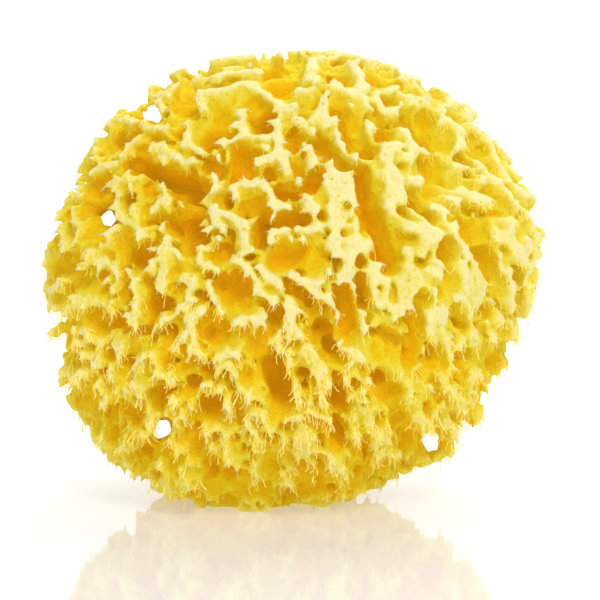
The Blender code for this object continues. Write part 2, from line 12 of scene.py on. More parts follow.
import bpy
import numpy as np
import openvdb
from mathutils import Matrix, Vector


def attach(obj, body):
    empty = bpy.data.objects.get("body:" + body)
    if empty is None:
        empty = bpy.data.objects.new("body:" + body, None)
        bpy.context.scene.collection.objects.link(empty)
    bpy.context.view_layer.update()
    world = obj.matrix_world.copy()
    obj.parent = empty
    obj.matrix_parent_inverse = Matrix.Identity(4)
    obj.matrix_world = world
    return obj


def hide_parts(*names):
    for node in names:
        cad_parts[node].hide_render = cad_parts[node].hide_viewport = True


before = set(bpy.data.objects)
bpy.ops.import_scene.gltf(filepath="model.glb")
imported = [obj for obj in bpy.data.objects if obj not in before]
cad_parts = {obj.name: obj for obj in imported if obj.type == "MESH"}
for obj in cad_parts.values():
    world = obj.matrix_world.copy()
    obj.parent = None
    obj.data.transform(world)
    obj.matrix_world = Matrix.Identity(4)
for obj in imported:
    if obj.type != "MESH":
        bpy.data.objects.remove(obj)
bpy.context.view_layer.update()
MM = 0.001

# %% [markdown]
# ## The camera
# The photo looks at the sponge almost level, from a little above, with a long
# lens. A camera of 195 mm at 0.9 m shows a field of 166 mm, which puts the
# sponge where the photo has it.

# %% Camera
LEAN_BACK = math.radians(8)
VIEWED_FROM = 900 * MM
LENS = 195
AIM = Vector((0.0107, 0.004, 0.0552))
camera = bpy.data.objects.new("camera", bpy.data.cameras.new("camera"))
camera.data.lens = LENS
camera.data.clip_start = 0.05
camera.location = AIM + Vector((0, -math.cos(LEAN_BACK), math.sin(LEAN_BACK))) * VIEWED_FROM
camera.rotation_euler = (AIM - camera.location).to_track_quat("-Z", "Y").to_euler()
bpy.context.scene.collection.objects.link(camera)
bpy.context.scene.camera = camera
print("camera at", [round(c, 3) for c in camera.location])

# %% [markdown]
# ## The form's measures
# The outline is a list of radii at even angles, seen from the front, and the
# depth is one number. Points on the outline, the ridges of skin, the holes, the
# long holes and the canals' places were read off enlarged views of the photo, in
# its pixels. They were then turned into millimetres across and up from the
# form's centre, at 0.277 mm a pixel, and the radii were worked out between the
# outline's points. The imported part holds the same lists, but gives each canal
# a single width. The canals' lengths, widths and leans here were set.

# %% The whole form
OUTLINE = [67.7, 72.4, 69.5, 69.2, 66.4, 66.3, 64.7, 65.8, 68.1, 68.4, 67.8, 68.9,
           69.4, 69.7, 71.2, 71.0, 70.3, 66.5, 63.4, 63.1, 61.8, 65.3, 63.9, 64.2]
HALF_DEPTH = 57 * MM
CENTRE = np.array([0.009, 0.004, 0.060])
ACROSS = np.array([1.0, 0.0, 0.0])
UP = np.array([0.0, math.sin(LEAN_BACK), math.cos(LEAN_BACK)])
FORWARD = np.array([0.0, -math.cos(LEAN_BACK), math.sin(LEAN_BACK)])
BROAD_LUMP = 2.2 * MM
BROAD_LUMP_WIDTH = 26 * MM
SMALL_LUMP = 1.0 * MM
SMALL_LUMP_WIDTH = 11 * MM
LUMP_RISE = 1.5
LUMP_AT_RIM = 0.15
LATTICE_REACH = 95 * MM
print(len(OUTLINE), "radii round the outline")

# %% Ridges of skin on the front: width, then across and up for each bend
RIDGES = [
    (1.4, -55, 34, -53, 34, -50, 34), (1.1, -56, 39, -55, 36),
    (1.7, -48, 37, -47, 39, -45, 40, -43, 42), (1.1, -47, 47, -45, 47, -42, 45, -40, 45),
    (1.4, -40, 47, -38, 45, -35, 45, -32, 46), (1.4, -38, 52, -36, 50),
    (1.4, -39, 53, -34, 54, -32, 55), (1.4, -31, 47, -30, 43, -27, 39), (1.1, -30, 43, -31, 41),
    (1.9, -25, 53, -25, 49), (1.7, -39, 39, -37, 40, -35, 39, -33, 37, -30, 37),
    (1.4, -36, 39, -37, 37, -37, 34), (1.7, -51, 28, -48, 30, -46, 30, -43, 31, -41, 33),
    (1.1, -51, 28, -50, 25, -51, 23), (1.1, -46, 30, -46, 25), (2.8, -36, 27, -36, 24),
    (1.1, -36, 27, -38, 29), (1.1, -37, 25, -40, 22), (1.1, -36, 27, -35, 30), (2.2, -25, 30, -23, 28),
    (1.4, -61, 28, -60, 25), (1.4, -60, 30, -62, 29, -62, 25), (1.4, -47, 23, -45, 21),
    (0.8, -22, 60, -15, 60, -12, 60), (1.4, -22, 63, -15, 63, -4, 64), (1.7, -26, 57, -17, 58, -9, 58),
    (1.7, -22, 53, -17, 54, -10, 55, -8, 54), (1.1, -8, 54, -6, 52),
    (1.9, -16, 49, -14, 47, -16, 45, -14, 44), (1.7, -21, 40, -19, 40, -16, 41, -14, 42, -14, 44),
    (1.1, -21, 40, -21, 37), (2.2, -5, 50, -1, 49, 0, 48, 2, 45), (1.9, -5, 50, -4, 46, -5, 42),
    (2.2, -5, 42, -5, 39, -4, 37, -2, 34), (1.7, -5, 38, -8, 36, -11, 35), (1.1, -3, 37, -1, 37),
    (1.1, -13, 45, -12, 43, -9, 42, -6, 43), (0.8, -10, 40, -9, 39), (1.7, 1, 52, 5, 52, 7, 50, 6, 47),
    (2.2, 5, 61, 5, 55), (2.8, 5, 55, 10, 54, 14, 53), (2.5, 7, 63, 14, 64, 17, 60, 18, 53),
    (2.8, 18, 53, 20, 48, 21, 44), (2.5, 4, 47, 7, 45, 11, 46, 12, 49), (1.7, 11, 46, 12, 42, 13, 39),
    (1.9, 2, 45, 4, 42, 4, 37), (2.2, 4, 37, 6, 35, 10, 33, 14, 32, 17, 29), (1.4, 2, 32, 2, 28, 2, 25),
    (1.4, 4, 26, 5, 22), (5.5, 14, 30, 15, 27, 14, 22), (1.7, -14, 30, -11, 30, -9, 28),
    (1.4, -9, 28, -7, 25, -6, 22), (1.4, -16, 30, -17, 27, -16, 26), (1.1, 12, 39, 16, 36, 19, 32),
    (1.1, 20, 51, 22, 53, 25, 54), (1.1, 22, 52, 24, 50), (0.8, 22, 39, 25, 40),
    (1.4, 25, 54, 29, 56, 33, 58), (1.7, 33, 58, 35, 54), (1.7, 29, 53, 32, 52, 34, 50),
    (1.4, 25, 49, 29, 50), (1.4, 29, 48, 30, 46, 32, 42, 36, 39, 40, 40), (1.7, 35, 51, 39, 50, 42, 48),
    (1.7, 42, 50, 45, 51), (1.1, 42, 48, 43, 45), (1.9, 44, 46, 46, 44, 47, 41, 47, 38),
    (1.7, 46, 50, 48, 48, 49, 45), (3.3, 26, 37, 27, 32, 27, 26, 25, 22),
    (2.2, 26, 39, 29, 40, 32, 39, 33, 35), (1.1, 33, 30, 36, 30), (2.2, 29, 30, 30, 25),
    (1.4, 47, 34, 51, 35, 53, 33), (1.9, 53, 33, 56, 31, 58, 28, 60, 23),
    (1.9, 51, 43, 55, 40, 57, 36, 60, 30), (1.1, 61, 33, 64, 31), (1.4, 62, 28, 65, 25, 68, 26),
    (2.2, 46, 28, 49, 26, 52, 24), (2.2, 44, 25, 47, 23), (1.7, 51, 30, 54, 30),
    (1.4, -66, 21, -65, 15, -63, 11), (1.4, -62, 21, -60, 17, -60, 12),
    (1.7, -51, 22, -49, 19, -47, 17), (1.9, -46, 22, -45, 18), (1.4, -47, 17, -48, 12),
    (1.9, -45, 18, -43, 16, -42, 12, -42, 9), (1.7, -57, 9, -55, 10, -53, 13, -51, 16),
    (1.9, -57, 6, -55, 7, -53, 7), (1.4, -55, 7, -54, 2), (1.4, -53, 7, -51, 4, -51, 0),
    (1.4, -66, 0, -65, 1, -63, 2), (1.1, -69, -3, -66, 0), (1.4, -62, -6, -60, -4, -57, -4),
    (1.7, -60, -2, -55, -3, -53, -5, -53, -8), (1.1, -53, -5, -51, -4),
    (1.4, -47, 3, -45, 5, -43, 6, -40, 6, -39, 9), (1.7, -44, 5, -45, 1, -45, -3, -45, -8),
    (1.9, -38, 18, -36, 16, -35, 13, -36, 9, -35, 6, -36, 1, -37, -1), (1.1, -35, 14, -34, 16),
    (1.4, -36, 9, -38, 8, -39, 4), (1.4, -35, 10, -32, 8), (1.9, -50, -11, -47, -9, -45, -9, -44, -13),
    (1.7, -45, -9, -42, -11), (1.4, -60, -12, -57, -11), (2.2, -57, -12, -57, -17, -58, -21),
    (1.4, -57, -16, -61, -15), (1.4, -55, -14, -55, -18, -56, -22), (1.7, -53, -18, -50, -17, -51, -20),
    (1.4, -38, -12, -36, -9, -34, -7, -32, -5), (2.2, -28, 15, -27, 11, -26, 7, -24, 5, -23, 1),
    (1.1, -27, 11, -25, 9), (0.8, -27, 14, -25, 16, -23, 15),
    (1.9, -31, 1, -29, 2, -29, -1, -30, -6, -30, -11, -32, -16), (1.4, -25, -1, -24, -6, -22, -8),
    (1.4, -29, -8, -28, -14, -27, -19), (0.8, -33, -18, -32, -17, -29, -18),
    (1.7, -44, -22, -42, -20, -40, -20), (1.4, -42, -20, -41, -23), (1.4, -22, 22, -21, 18, -20, 13),
    (1.1, -22, 21, -19, 21, -16, 19, -12, 16), (2.2, -14, 17, -14, 12, -16, 10, -17, 7),
    (1.1, -16, 10, -11, 11), (1.9, -17, 7, -15, 5, -13, 3, -11, 1, -9, -2, -5, -5),
    (1.1, -13, 6, -14, 5), (1.4, -9, 5, -6, 3, -4, 1), (1.9, -7, 22, -7, 18), (2.2, -7, 22, -2, 21),
    (1.4, -7, 17, -6, 12), (2.2, -6, 15, -3, 16, 0, 17, 1, 14, 2, 9),
    (1.9, 1, 18, 4, 16, 7, 17, 10, 16, 11, 14), (1.4, 6, 22, 6, 19), (4.4, 12, 21, 12, 15, 11, 12),
    (3.9, 14, 14, 17, 16, 19, 12, 17, 9), (2.5, 11, 11, 14, 7, 16, 3, 17, -2), (1.1, 12, 6, 13, 2),
    (1.1, 10, 5, 12, 4), (3.3, 1, 5, 3, 1, 6, -1, 8, -4, 11, -6), (1.4, -1, 5, 1, 3), (0.8, 5, 2, 8, 3),
    (1.4, 7, -2, 12, -1), (1.4, 11, -6, 14, -5), (1.4, 11, -6, 12, -10), (1.9, -3, -5, -1, -4, 1, -6),
    (2.8, 0, -6, 0, -10, 0, -12, -1, -16, -2, -19), (2.5, 0, -12, 3, -15, 4, -18, 6, -23),
    (1.7, -14, -4, -14, -7, -15, -10), (1.9, -14, -7, -11, -9, -8, -9),
    (1.4, -11, -9, -9, -12, -6, -13), (0.8, -16, -8, -17, -11), (1.4, 18, -8, 20, -8, 21, -6),
    (1.9, 19, -9, 18, -12, 17, -16), (1.1, 21, -9, 21, -14), (3.3, 22, 5, 23, 2, 24, -3),
    (2.2, 14, -15, 15, -18, 14, -22), (1.7, 17, -18, 19, -22), (1.4, -22, -21, -19, -20, -15, -20),
    (1.4, -3, -18, -1, -22), (2.2, 29, 21, 30, 18, 33, 15, 35, 13, 38, 12), (1.4, 27, 21, 29, 19),
    (4.4, 29, 9, 30, 6, 31, 0, 32, -6), (1.9, 33, 21, 36, 15, 39, 13),
    (3.0, 40, 21, 43, 17, 45, 12, 48, 8, 50, 5, 53, 1), (5.0, 47, 6, 48, 1, 50, -4),
    (1.4, 34, 10, 37, 8, 40, 5), (1.1, 35, 5, 38, 3), (2.2, 44, -3, 46, -7, 48, -11, 51, -15),
    (3.3, 37, -3, 39, -7, 41, -11, 43, -14, 46, -16), (2.2, 36, -6, 36, -12),
    (2.5, 25, 5, 25, 0, 27, -5), (1.4, 27, -5, 29, -9), (1.4, 34, -17, 34, -22),
    (2.2, 42, -15, 43, -19, 43, -23), (0.8, 38, -14, 39, -13), (2.2, 57, 15, 60, 13, 62, 10, 65, 7),
    (2.2, 58, 20, 61, 16), (2.2, 62, 22, 66, 19, 68, 14), (1.4, 58, 8, 59, 5),
    (2.2, 65, 12, 68, 9, 66, 5, 65, 1, 66, -3), (2.8, 60, 4, 61, -3, 62, -8, 63, -16),
    (1.4, 57, -6, 58, -11), (1.4, 54, -11, 57, -16), (1.4, -65, -23, -63, -25),
    (1.4, -63, -27, -59, -25), (1.7, -55, -29, -54, -34), (1.1, -53, -23, -53, -27),
    (1.7, -51, -31, -48, -30), (1.9, -46, -28, -44, -31), (1.9, -39, -24, -36, -27, -34, -25),
    (1.9, -34, -32, -32, -35, -32, -39), (1.7, -44, -36, -43, -40, -42, -43), (1.4, -40, -36, -37, -37),
    (1.7, -35, -36, -33, -40), (0.8, -49, -44, -50, -47), (1.1, -29, -33, -28, -36),
    (1.4, -25, -44, -24, -47), (2.2, -37, -51, -36, -55, -35, -58), (2.2, -40, -55, -37, -60),
    (2.2, -32, -52, -29, -57), (1.7, -25, -29, -23, -31), (1.1, -36, -44, -34, -47),
    (1.9, -22, -24, -18, -23, -16, -25), (1.4, -19, -27, -21, -31), (2.2, -15, -29, -13, -32, -12, -35),
    (2.2, -23, -42, -20, -45, -19, -49), (1.1, -19, -35, -17, -36), (1.7, -14, -37, -13, -42, -11, -46),
    (1.9, -10, -35, -9, -39, -7, -42), (1.4, -19, -49, -18, -53), (1.4, -12, -48, -12, -53, -11, -56),
    (2.2, 0, -28, 1, -32, 3, -35), (3.9, -1, -36, 0, -40, 4, -43, 9, -46),
    (2.2, 3, -33, 7, -36, 10, -39), (1.4, -3, -42, -4, -46), (3.3, 1, -44, 4, -50),
    (2.2, 8, -28, 8, -32), (1.4, 7, -25, 11, -28), (1.7, 14, -27, 15, -31),
    (1.1, 15, -34, 16, -37, 17, -40, 18, -45), (1.9, 19, -25, 20, -29), (2.2, 19, -33, 21, -38),
    (2.8, 22, -36, 24, -44, 24, -50), (2.2, 10, -48, 13, -53), (1.7, -4, -53, -1, -56),
    (1.4, 30, -24, 31, -28, 32, -32), (1.9, 34, -24, 36, -29), (1.7, 40, -25, 42, -32, 40, -34),
    (3.3, 25, -40, 26, -45, 29, -49), (2.2, 44, -30, 49, -34), (2.8, 35, -36, 39, -39, 40, -42),
    (2.8, 50, -25, 51, -32), (2.8, 44, -39, 46, -45),
]
print(len(RIDGES), "ridges on the front")

# %% Holes on the front: across, up, width, depth
PITS = [
    (-4, 58, 7, 7), (13, 58, 4.5, 7), (-1, 54, 5, 7), (26, 52, 3, 5), (-8, 48, 7, 14),
    (-32, 47, 2.5, 5), (20, 47, 3.5, 5), (46, 47, 4, 4), (34, 46, 7.5, 10), (-33, 45, 3.5, 6),
    (26, 45, 4.5, 9), (-45, 44, 6, 7), (-24, 43, 7, 12), (-17, 43, 4.5, 7), (1, 42, 5.5, 6),
    (39, 42, 7, 10), (-54, 39, 4.5, 4), (21, 39, 5.5, 8), (-15, 37, 6, 8), (48, 36, 4.5, 6),
    (1, 35, 4, 5), (32, 34, 2.5, 4), (60, 33, 3.5, 4), (-18, 32, 5.5, 8), (-9, 31, 3, 8),
    (7, 31, 7, 8), (45, 30, 4, 6), (-19, 25, 4, 14), (35, 24, 6, 10), (-48, 24, 5, 7), (-43, 22, 2, 5),
    (-60, 22, 5, 4), (30, 21, 3, 6), (63, 20, 4, 4), (8, 20, 2.5, 5), (25, 20, 2.5, 8),
    (38, 19, 4.5, 11), (-38, 18, 4, 9), (-33, 17, 6.5, 14), (50, 15, 8.5, 7), (-29, 14, 7.5, 15),
    (-30, 11, 5, 13), (-20, 11, 6, 7), (4, 10, 2.5, 6), (41, 9, 7, 10), (-13, 8, 2.5, 7),
    (12, 7, 3, 10), (19, 7, 3.5, 8), (63, 4, 2, 4), (41, 3, 4.5, 6), (-25, 2, 2.5, 7),
    (-55, 1, 4.5, 8), (39, -1, 4.5, 6), (-28, -4, 2.5, 6), (4, -6, 2.5, 7), (-57, -7, 4, 6),
    (10, -9, 3.5, 8), (-45, -14, 5, 8), (22, -14, 4, 7), (-36, -15, 5.5, 10), (-25, -15, 3.5, 7),
    (9, -15, 5.5, 13), (-7, -15, 5.5, 6), (-63, -16, 3, 5), (54, -17, 2, 5), (-31, -18, 2.5, 6),
    (38, -19, 5.5, 8), (-54, -19, 3.5, 6), (12, -20, 5.5, 13), (48, -21, 3, 7), (-4, -21, 4, 11),
    (-49, -23, 5, 9), (-26, -25, 5.5, 12), (3, -27, 3.5, 8), (45, -27, 2, 6), (17, -28, 4, 11),
    (25, -28, 6, 9), (-38, -29, 6.5, 12), (-19, -29, 2.5, 6), (54, -29, 2.5, 5), (-30, -30, 5.5, 12),
    (-40, -34, 4.5, 10), (38, -34, 4, 6), (-14, -35, 3.5, 9), (41, -36, 4, 6), (-25, -38, 7, 14),
    (4, -38, 3.5, 10), (-11, -39, 4, 10), (32, -39, 4, 10), (-44, -40, 3, 7), (12, -42, 5.5, 13),
    (-47, -44, 3.5, 8), (-29, -45, 6, 7), (-23, -45, 4, 11), (-52, -45, 3, 6), (-36, -47, 3, 9),
    (-8, -47, 4, 9), (-14, -49, 3.5, 8), (-45, -50, 5.5, 8), (30, -51, 4, 6), (-39, -54, 4, 8),
    (8, -55, 3.5, 8), (15, -55, 2.5, 5), (-19, -58, 5.5, 8), (-2, -60, 6, 7), (-9, -60, 3.5, 6),
]
print(len(PITS), "holes on the front")

# %% Long holes on the front: both ends, width, depth
GROOVES = [
    (-31, 55, -18, 55, 3, 6), (-23, 60, -9, 61, 2.5, 5), (21, 58, 29, 56, 3.5, 6),
    (11, 49, 16, 39, 3.5, 8), (7, 40, 15, 34, 4, 7), (-47, 34, -36, 32, 5.5, 14),
    (-54, 30, -54, 24, 5.5, 9), (-34, 29, -27, 27, 6, 14), (-4, 27, 1, 27, 4.5, 9),
    (20, 33, 22, 22, 4.5, 12), (49, 22, 58, 21, 3, 6), (-55, 19, -55, 13, 4.5, 12),
    (-9, 19, -9, 13, 4.5, 14), (-4, 18, 3, 19, 4, 11), (24, 19, 27, 5, 5, 12),
    (-47, 9, -42, 8, 6.5, 10), (-65, 5, -59, 6, 4.5, 6), (-4, 8, 2, 9, 5.5, 6),
    (55, 8, 56, -1, 6.5, 8), (-49, 4, -48, -2, 4, 9), (-41, 2, -41, -14, 4.5, 12),
    (-21, -1, -15, -1, 6, 6), (-55, -11, -49, -11, 5.5, 6), (-1, 1, 5, -6, 4, 7),
    (14, -2, 16, -13, 6, 9), (19, 2, 21, -7, 3.5, 9), (43, -5, 47, -12, 3, 10),
    (33, -8, 33, -20, 4, 8), (-5, -7, -5, -12, 4, 8), (24, -14, 29, -16, 4, 10),
    (-5, -27, -4, -34, 7, 14), (12, -29, 13, -35, 6, 13), (6, -39, 14, -46, 4, 10),
    (32, -48, 39, -47, 3.5, 7), (20, -46, 21, -52, 2, 7), (-25, -52, -25, -57, 3.5, 9),
]
print(len(GROOVES), "long holes on the front")

# %% Canals right through: across, up, length, width, and how far they lean, in degrees
CANALS = [(-40, 48, 4.6, 2.6, -12), (-52, 18, 3.2, 2.5, 80), (-65, -9, 3.8, 2.3, 10),
          (-37, -41, 4.6, 2.6, 78), (39, -44, 4.0, 2.0, -30)]
print(len(CANALS), "canals")

# %% [markdown]
# ## Finding places on the skin
# Everything is placed on the outer skin first: a ray from the centre is followed
# outwards until it meets the skin. Seeded noise makes the skin swell and dip, so
# the form isn't a smooth egg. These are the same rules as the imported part's.

# %% The outline, and noise between the corners of a lattice
def unit(vector):
    return vector / np.linalg.norm(vector)


def outline_radius(across, up):
    count = len(OUTLINE)
    turn = np.arctan2(up, across) / (2 * math.pi) * count
    first = np.floor(turn).astype(int)
    t = turn - first
    a, b, c, d = (np.take(OUTLINE, first + step, mode="wrap") for step in (-1, 0, 1, 2))
    curve = b + 0.5 * t * (c - a + t * (2 * a - 5 * b + 4 * c - d + t * (3 * (b - c) + d - a)))
    return curve * MM


def corner_mix(volume, place):
    """The value between a volume's eight nearest cells, for each place in cells."""
    first = np.clip(np.floor(place).astype(int), 0, np.array(volume.shape) - 2)
    t = np.clip(place - first, 0, 1)
    total = 0.0
    for corner in range(8):
        step = np.array([corner & 1, corner >> 1 & 1, corner >> 2 & 1])
        i, j, k = (first + step).T
        total = total + np.prod(np.where(step, t, 1 - t), axis=1) * volume[i, j, k]
    return total


def lattice(wavelength, seed):
    count = int(2 * LATTICE_REACH / wavelength) + 3
    return np.random.default_rng(seed).standard_normal([count] * 3)


def noise_at(points, wavelength, seed):
    place = (points - CENTRE + LATTICE_REACH) / wavelength
    t = place - np.floor(place)
    return corner_mix(lattice(wavelength, seed), np.floor(place) + t * t * (3 - 2 * t))


print("the outline's radius to the right, mm:", round(float(outline_radius(1.0, 0.0)) / MM, 1))

# %% Places on the skin
HALVINGS = 22
BEYOND_THE_SKIN = 0.1
FRONT_PASSES = 5
LEAST_DEPTH_SHARE = 0.03


def lumps(points):
    forward = np.abs((points - CENTRE) @ FORWARD) / HALF_DEPTH
    height = BROAD_LUMP * noise_at(points, BROAD_LUMP_WIDTH, 1)
    height = height + SMALL_LUMP * noise_at(points, SMALL_LUMP_WIDTH, 2)
    return height * np.clip(LUMP_RISE * forward, LUMP_AT_RIM, 1.0)


def skin_share(points):
    away = points - CENTRE
    across, up, forward = away @ ACROSS, away @ UP, away @ FORWARD
    return np.hypot(np.hypot(across, up) / outline_radius(across, up), forward / HALF_DEPTH) - 1


def on_skin(directions):
    directions = directions / np.linalg.norm(directions, axis=1)[:, None]
    near = np.zeros(len(directions))
    far = np.full(len(directions), BEYOND_THE_SKIN)
    for _ in range(HALVINGS):
        middle = (near + far) / 2
        inside = skin_share(CENTRE + directions * middle[:, None]) < 0
        near = np.where(inside, middle, near)
        far = np.where(inside, far, middle)
    points = CENTRE + directions * near[:, None]
    return points + directions * lumps(points)[:, None]


def on_front(across, up):
    forward = 0.0
    for _ in range(FRONT_PASSES):
        nearer = 1 - forward / VIEWED_FROM
        a, u = across * MM * nearer, up * MM * nearer
        share = math.hypot(a, u) / float(outline_radius(a, u))
        forward = HALF_DEPTH * math.sqrt(max(LEAST_DEPTH_SHARE, 1 - share ** 2))
    return on_skin((ACROSS * a + UP * u + FORWARD * forward)[None])[0]


print("the skin's top is at z =", round(float(on_skin(np.array([[0, 0, 1.0]]))[0][2]), 4))

# %% [markdown]
# ## Ridges, holes and bowls
# Where the front's lists end, ridges wander at random and holes keep their
# distance from one another, as they do on the animal. Bowls are then placed in
# the room between the ridges, largest first, so that what is left of the skin is
# a net of narrow ridges and stars with pointed corners. Limits in pairs are the
# least and the most, in millimetres where they are lengths.

# %% Ridges
SEED = 4
FRONT_ENDS_AT = 0.30
RIDGE_TRIES = 3000
RIDGE_GAP = (7.5, 10.5)
RIDGE_WIDTH = (1.2, 2.6)
LEAST_PARTS = 2
MOST_PARTS = 4
RIDGE_STEP = (2.5, 4.5)
RIDGE_BEND = 0.7
ARM_SHARE = 0.6
ARM_LENGTH = (3, 5)
ARM_WIDTH_SHARE = 0.8


def on_listed_front(point):
    return (point - CENTRE) @ FORWARD > FRONT_ENDS_AT * HALF_DEPTH


def away_from(taken, point):
    return np.min(np.linalg.norm(np.array(taken) - point, axis=1))


def walk(start, heading, rng):
    points = [start]
    for _ in range(rng.integers(LEAST_PARTS, MOST_PARTS + 1)):
        turn = rng.uniform(-RIDGE_BEND, RIDGE_BEND)
        outward = unit(points[-1] - CENTRE)
        heading = unit(heading * math.cos(turn) + np.cross(outward, heading) * math.sin(turn))
        reach = points[-1] + heading * rng.uniform(*RIDGE_STEP) * MM
        points.append(on_skin((reach - CENTRE)[None])[0])
    return points, heading


def all_ridges(rng):
    found = []
    for width, *places in RIDGES:
        found.append((width * MM, [on_front(*p) for p in zip(places[::2], places[1::2])]))
    taken = [p for _, points in found for p in points]
    for start in on_skin(rng.standard_normal((RIDGE_TRIES, 3))):
        gap = rng.uniform(*RIDGE_GAP) * MM
        if on_listed_front(start) or away_from(taken, start) < gap:
            continue
        outward = unit(start - CENTRE)
        heading = unit(np.cross(outward, rng.standard_normal(3)))
        width = rng.uniform(*RIDGE_WIDTH) * MM
        points, heading = walk(start, heading, rng)
        found.append((width, points))
        taken.extend(points)
        if rng.random() < ARM_SHARE:
            middle = points[len(points) // 2]
            side = np.cross(outward, heading) * rng.choice([-1, 1])
            tip = on_skin((middle + side * rng.uniform(*ARM_LENGTH) * MM - CENTRE)[None])[0]
            found.append((ARM_WIDTH_SHARE * width, [middle, tip]))
            taken.append(tip)
    return found


rng = np.random.default_rng(SEED)
skin_ridges = all_ridges(rng)
print(len(skin_ridges), "ridges in all")

# %% Holes
HOLE_TRIES = 6000
HOLE_GAP = (10.0, 13.0)
HOLE_WIDTH = (5.0, 8.6)
HOLE_DEPTH = (6, 14)
LONG_HOLE_SHARE = 0.35
LONG_HOLE_STRETCH = (0, 7)
CLEAR_OF_THE_CUT = 18 * MM


def all_holes(rng):
    found = []
    for across, up, width, depth in PITS:
        place = on_front(across, up)
        found.append((place, place, width / 2 * MM, depth * MM))
    for across, up, across_2, up_2, width, depth in GROOVES:
        ends = on_front(across, up), on_front(across_2, up_2)
        found.append((*ends, width / 2 * MM, depth * MM))
    taken = [(start + end) / 2 for start, end, _, _ in found]
    for place in on_skin(rng.standard_normal((HOLE_TRIES, 3))):
        gap = rng.uniform(*HOLE_GAP) * MM
        if on_listed_front(place) or away_from(taken, place) < gap:
            continue
        if np.linalg.norm(place) < CLEAR_OF_THE_CUT:
            continue
        taken.append(place)
        side = unit(np.cross(place - CENTRE, rng.standard_normal(3)))
        half = rng.uniform(*LONG_HOLE_STRETCH) / 2 * MM * (rng.random() < LONG_HOLE_SHARE)
        radius = rng.uniform(*HOLE_WIDTH) / 2 * MM
        depth = rng.uniform(*HOLE_DEPTH) * MM
        found.append((place - side * half, place + side * half, radius, depth))
    return found


holes = all_holes(rng)
print(len(holes), "holes in all")

# %% Bowls
CUT_RADIUS = 14 * MM
MARK_STEP = 0.8 * MM
MOST_AT_ONCE = 700
BOWL_PLACES = 14000
BOWL_SHIFT = 0.8
BOWL_FIT = (0.9, 1.12)
BOWL_VARIETY = (0.6, 1.0)
BOWL_GAP_TO_LARGER = 0.72
BOWL_GAP_TO_SMALLER = 0.42
LARGEST_BOWL = 5.6 * MM
SMALLEST_BOWL = 1.4 * MM


def ridge_marks(ridges):
    """Marks along every ridge, each with half its width. The first one is the cut underneath."""
    marks = [np.zeros(3)]
    halves = [CUT_RADIUS]
    for width, points in ridges:
        for a, b in zip(points, points[1:]):
            count = max(1, int(np.linalg.norm(b - a) / MARK_STEP))
            marks += [a + (b - a) * k / count for k in range(count + 1)]
            halves += [width / 2] * (count + 1)
    return np.array(marks), np.array(halves)


def room_at(places, marks, halves):
    """How far each place is from the nearest ridge's edge."""
    return np.concatenate([
        np.min(np.linalg.norm(part[:, None] - marks[None], axis=2) - halves[None], axis=1)
        for part in np.array_split(places, max(1, len(places) // MOST_AT_ONCE))])


def bowls(rng, marks, halves):
    step = np.arange(BOWL_PLACES) + 0.5
    height = 1 - 2 * step / BOWL_PLACES
    turn = step * math.pi * (3 - math.sqrt(5))
    ring = np.sqrt(1 - height ** 2)
    places = on_skin(np.stack([ring * np.cos(turn), ring * np.sin(turn), height], 1))
    places = places + rng.uniform(-BOWL_SHIFT, BOWL_SHIFT, places.shape) * MM
    room = room_at(places, marks, halves)
    size = np.minimum(room * rng.uniform(*BOWL_FIT, len(room)),
                      LARGEST_BOWL * rng.uniform(*BOWL_VARIETY, len(room)))
    kept = []
    for i in np.argsort(-size):
        if size[i] < SMALLEST_BOWL:
            break
        if kept:
            gap = np.linalg.norm(places[kept] - places[i], axis=1)
            if np.any(gap < BOWL_GAP_TO_LARGER * size[kept] + BOWL_GAP_TO_SMALLER * size[i]):
                continue
        kept.append(i)
    return places[kept], size[kept]


marks, halves = ridge_marks(skin_ridges)
bowl_places, bowl_sizes = bowls(rng, marks, halves)
print(len(bowl_places), "bowls")

# %% [markdown]
# ## The body as a field of distances
# A torn sponge is easier to describe as a solid with bubbles taken out than as
# a sheet of faces. So space is cut into small cells, and each cell holds how far
# it lies outside the solid. Taking a bubble away is then one comparison, and
# rounding the edges that it leaves is a soft comparison. The mesh comes last.

# %% The cells
UNTOUCHED = 3 * MM
VOXEL = 0.55 * MM
LOW = np.array([-0.0665, -0.0600, -0.0030])
HIGH = np.array([0.0850, 0.0660, 0.1300])
AXES = [np.arange(a, b, VOXEL) for a, b in zip(LOW, HIGH)]
SHAPE = tuple(len(a) for a in AXES)
print("cells:", SHAPE)


def along_axis(values, axis):
    shape = [1, 1, 1]
    shape[axis] = len(values)
    return values.reshape(shape)


def noise_in_cells(wavelength, seed):
    """The same noise as noise_at, for every cell at once."""
    out = lattice(wavelength, seed).astype(np.float32)
    for axis, places in enumerate(AXES):
        place = (places - CENTRE[axis] + LATTICE_REACH) / wavelength
        first = np.floor(place).astype(int)
        t = (place - first).astype(np.float32)
        t = along_axis(t * t * (3 - 2 * t), axis)
        out = np.take(out, first, axis) * (1 - t) + np.take(out, first + 1, axis) * t
    return out


# %% The skin's distance, with its swellings
TURN_STEPS = 720
SKIN_INSET = 0.2 * MM
NEAR_SKIN = 6 * MM


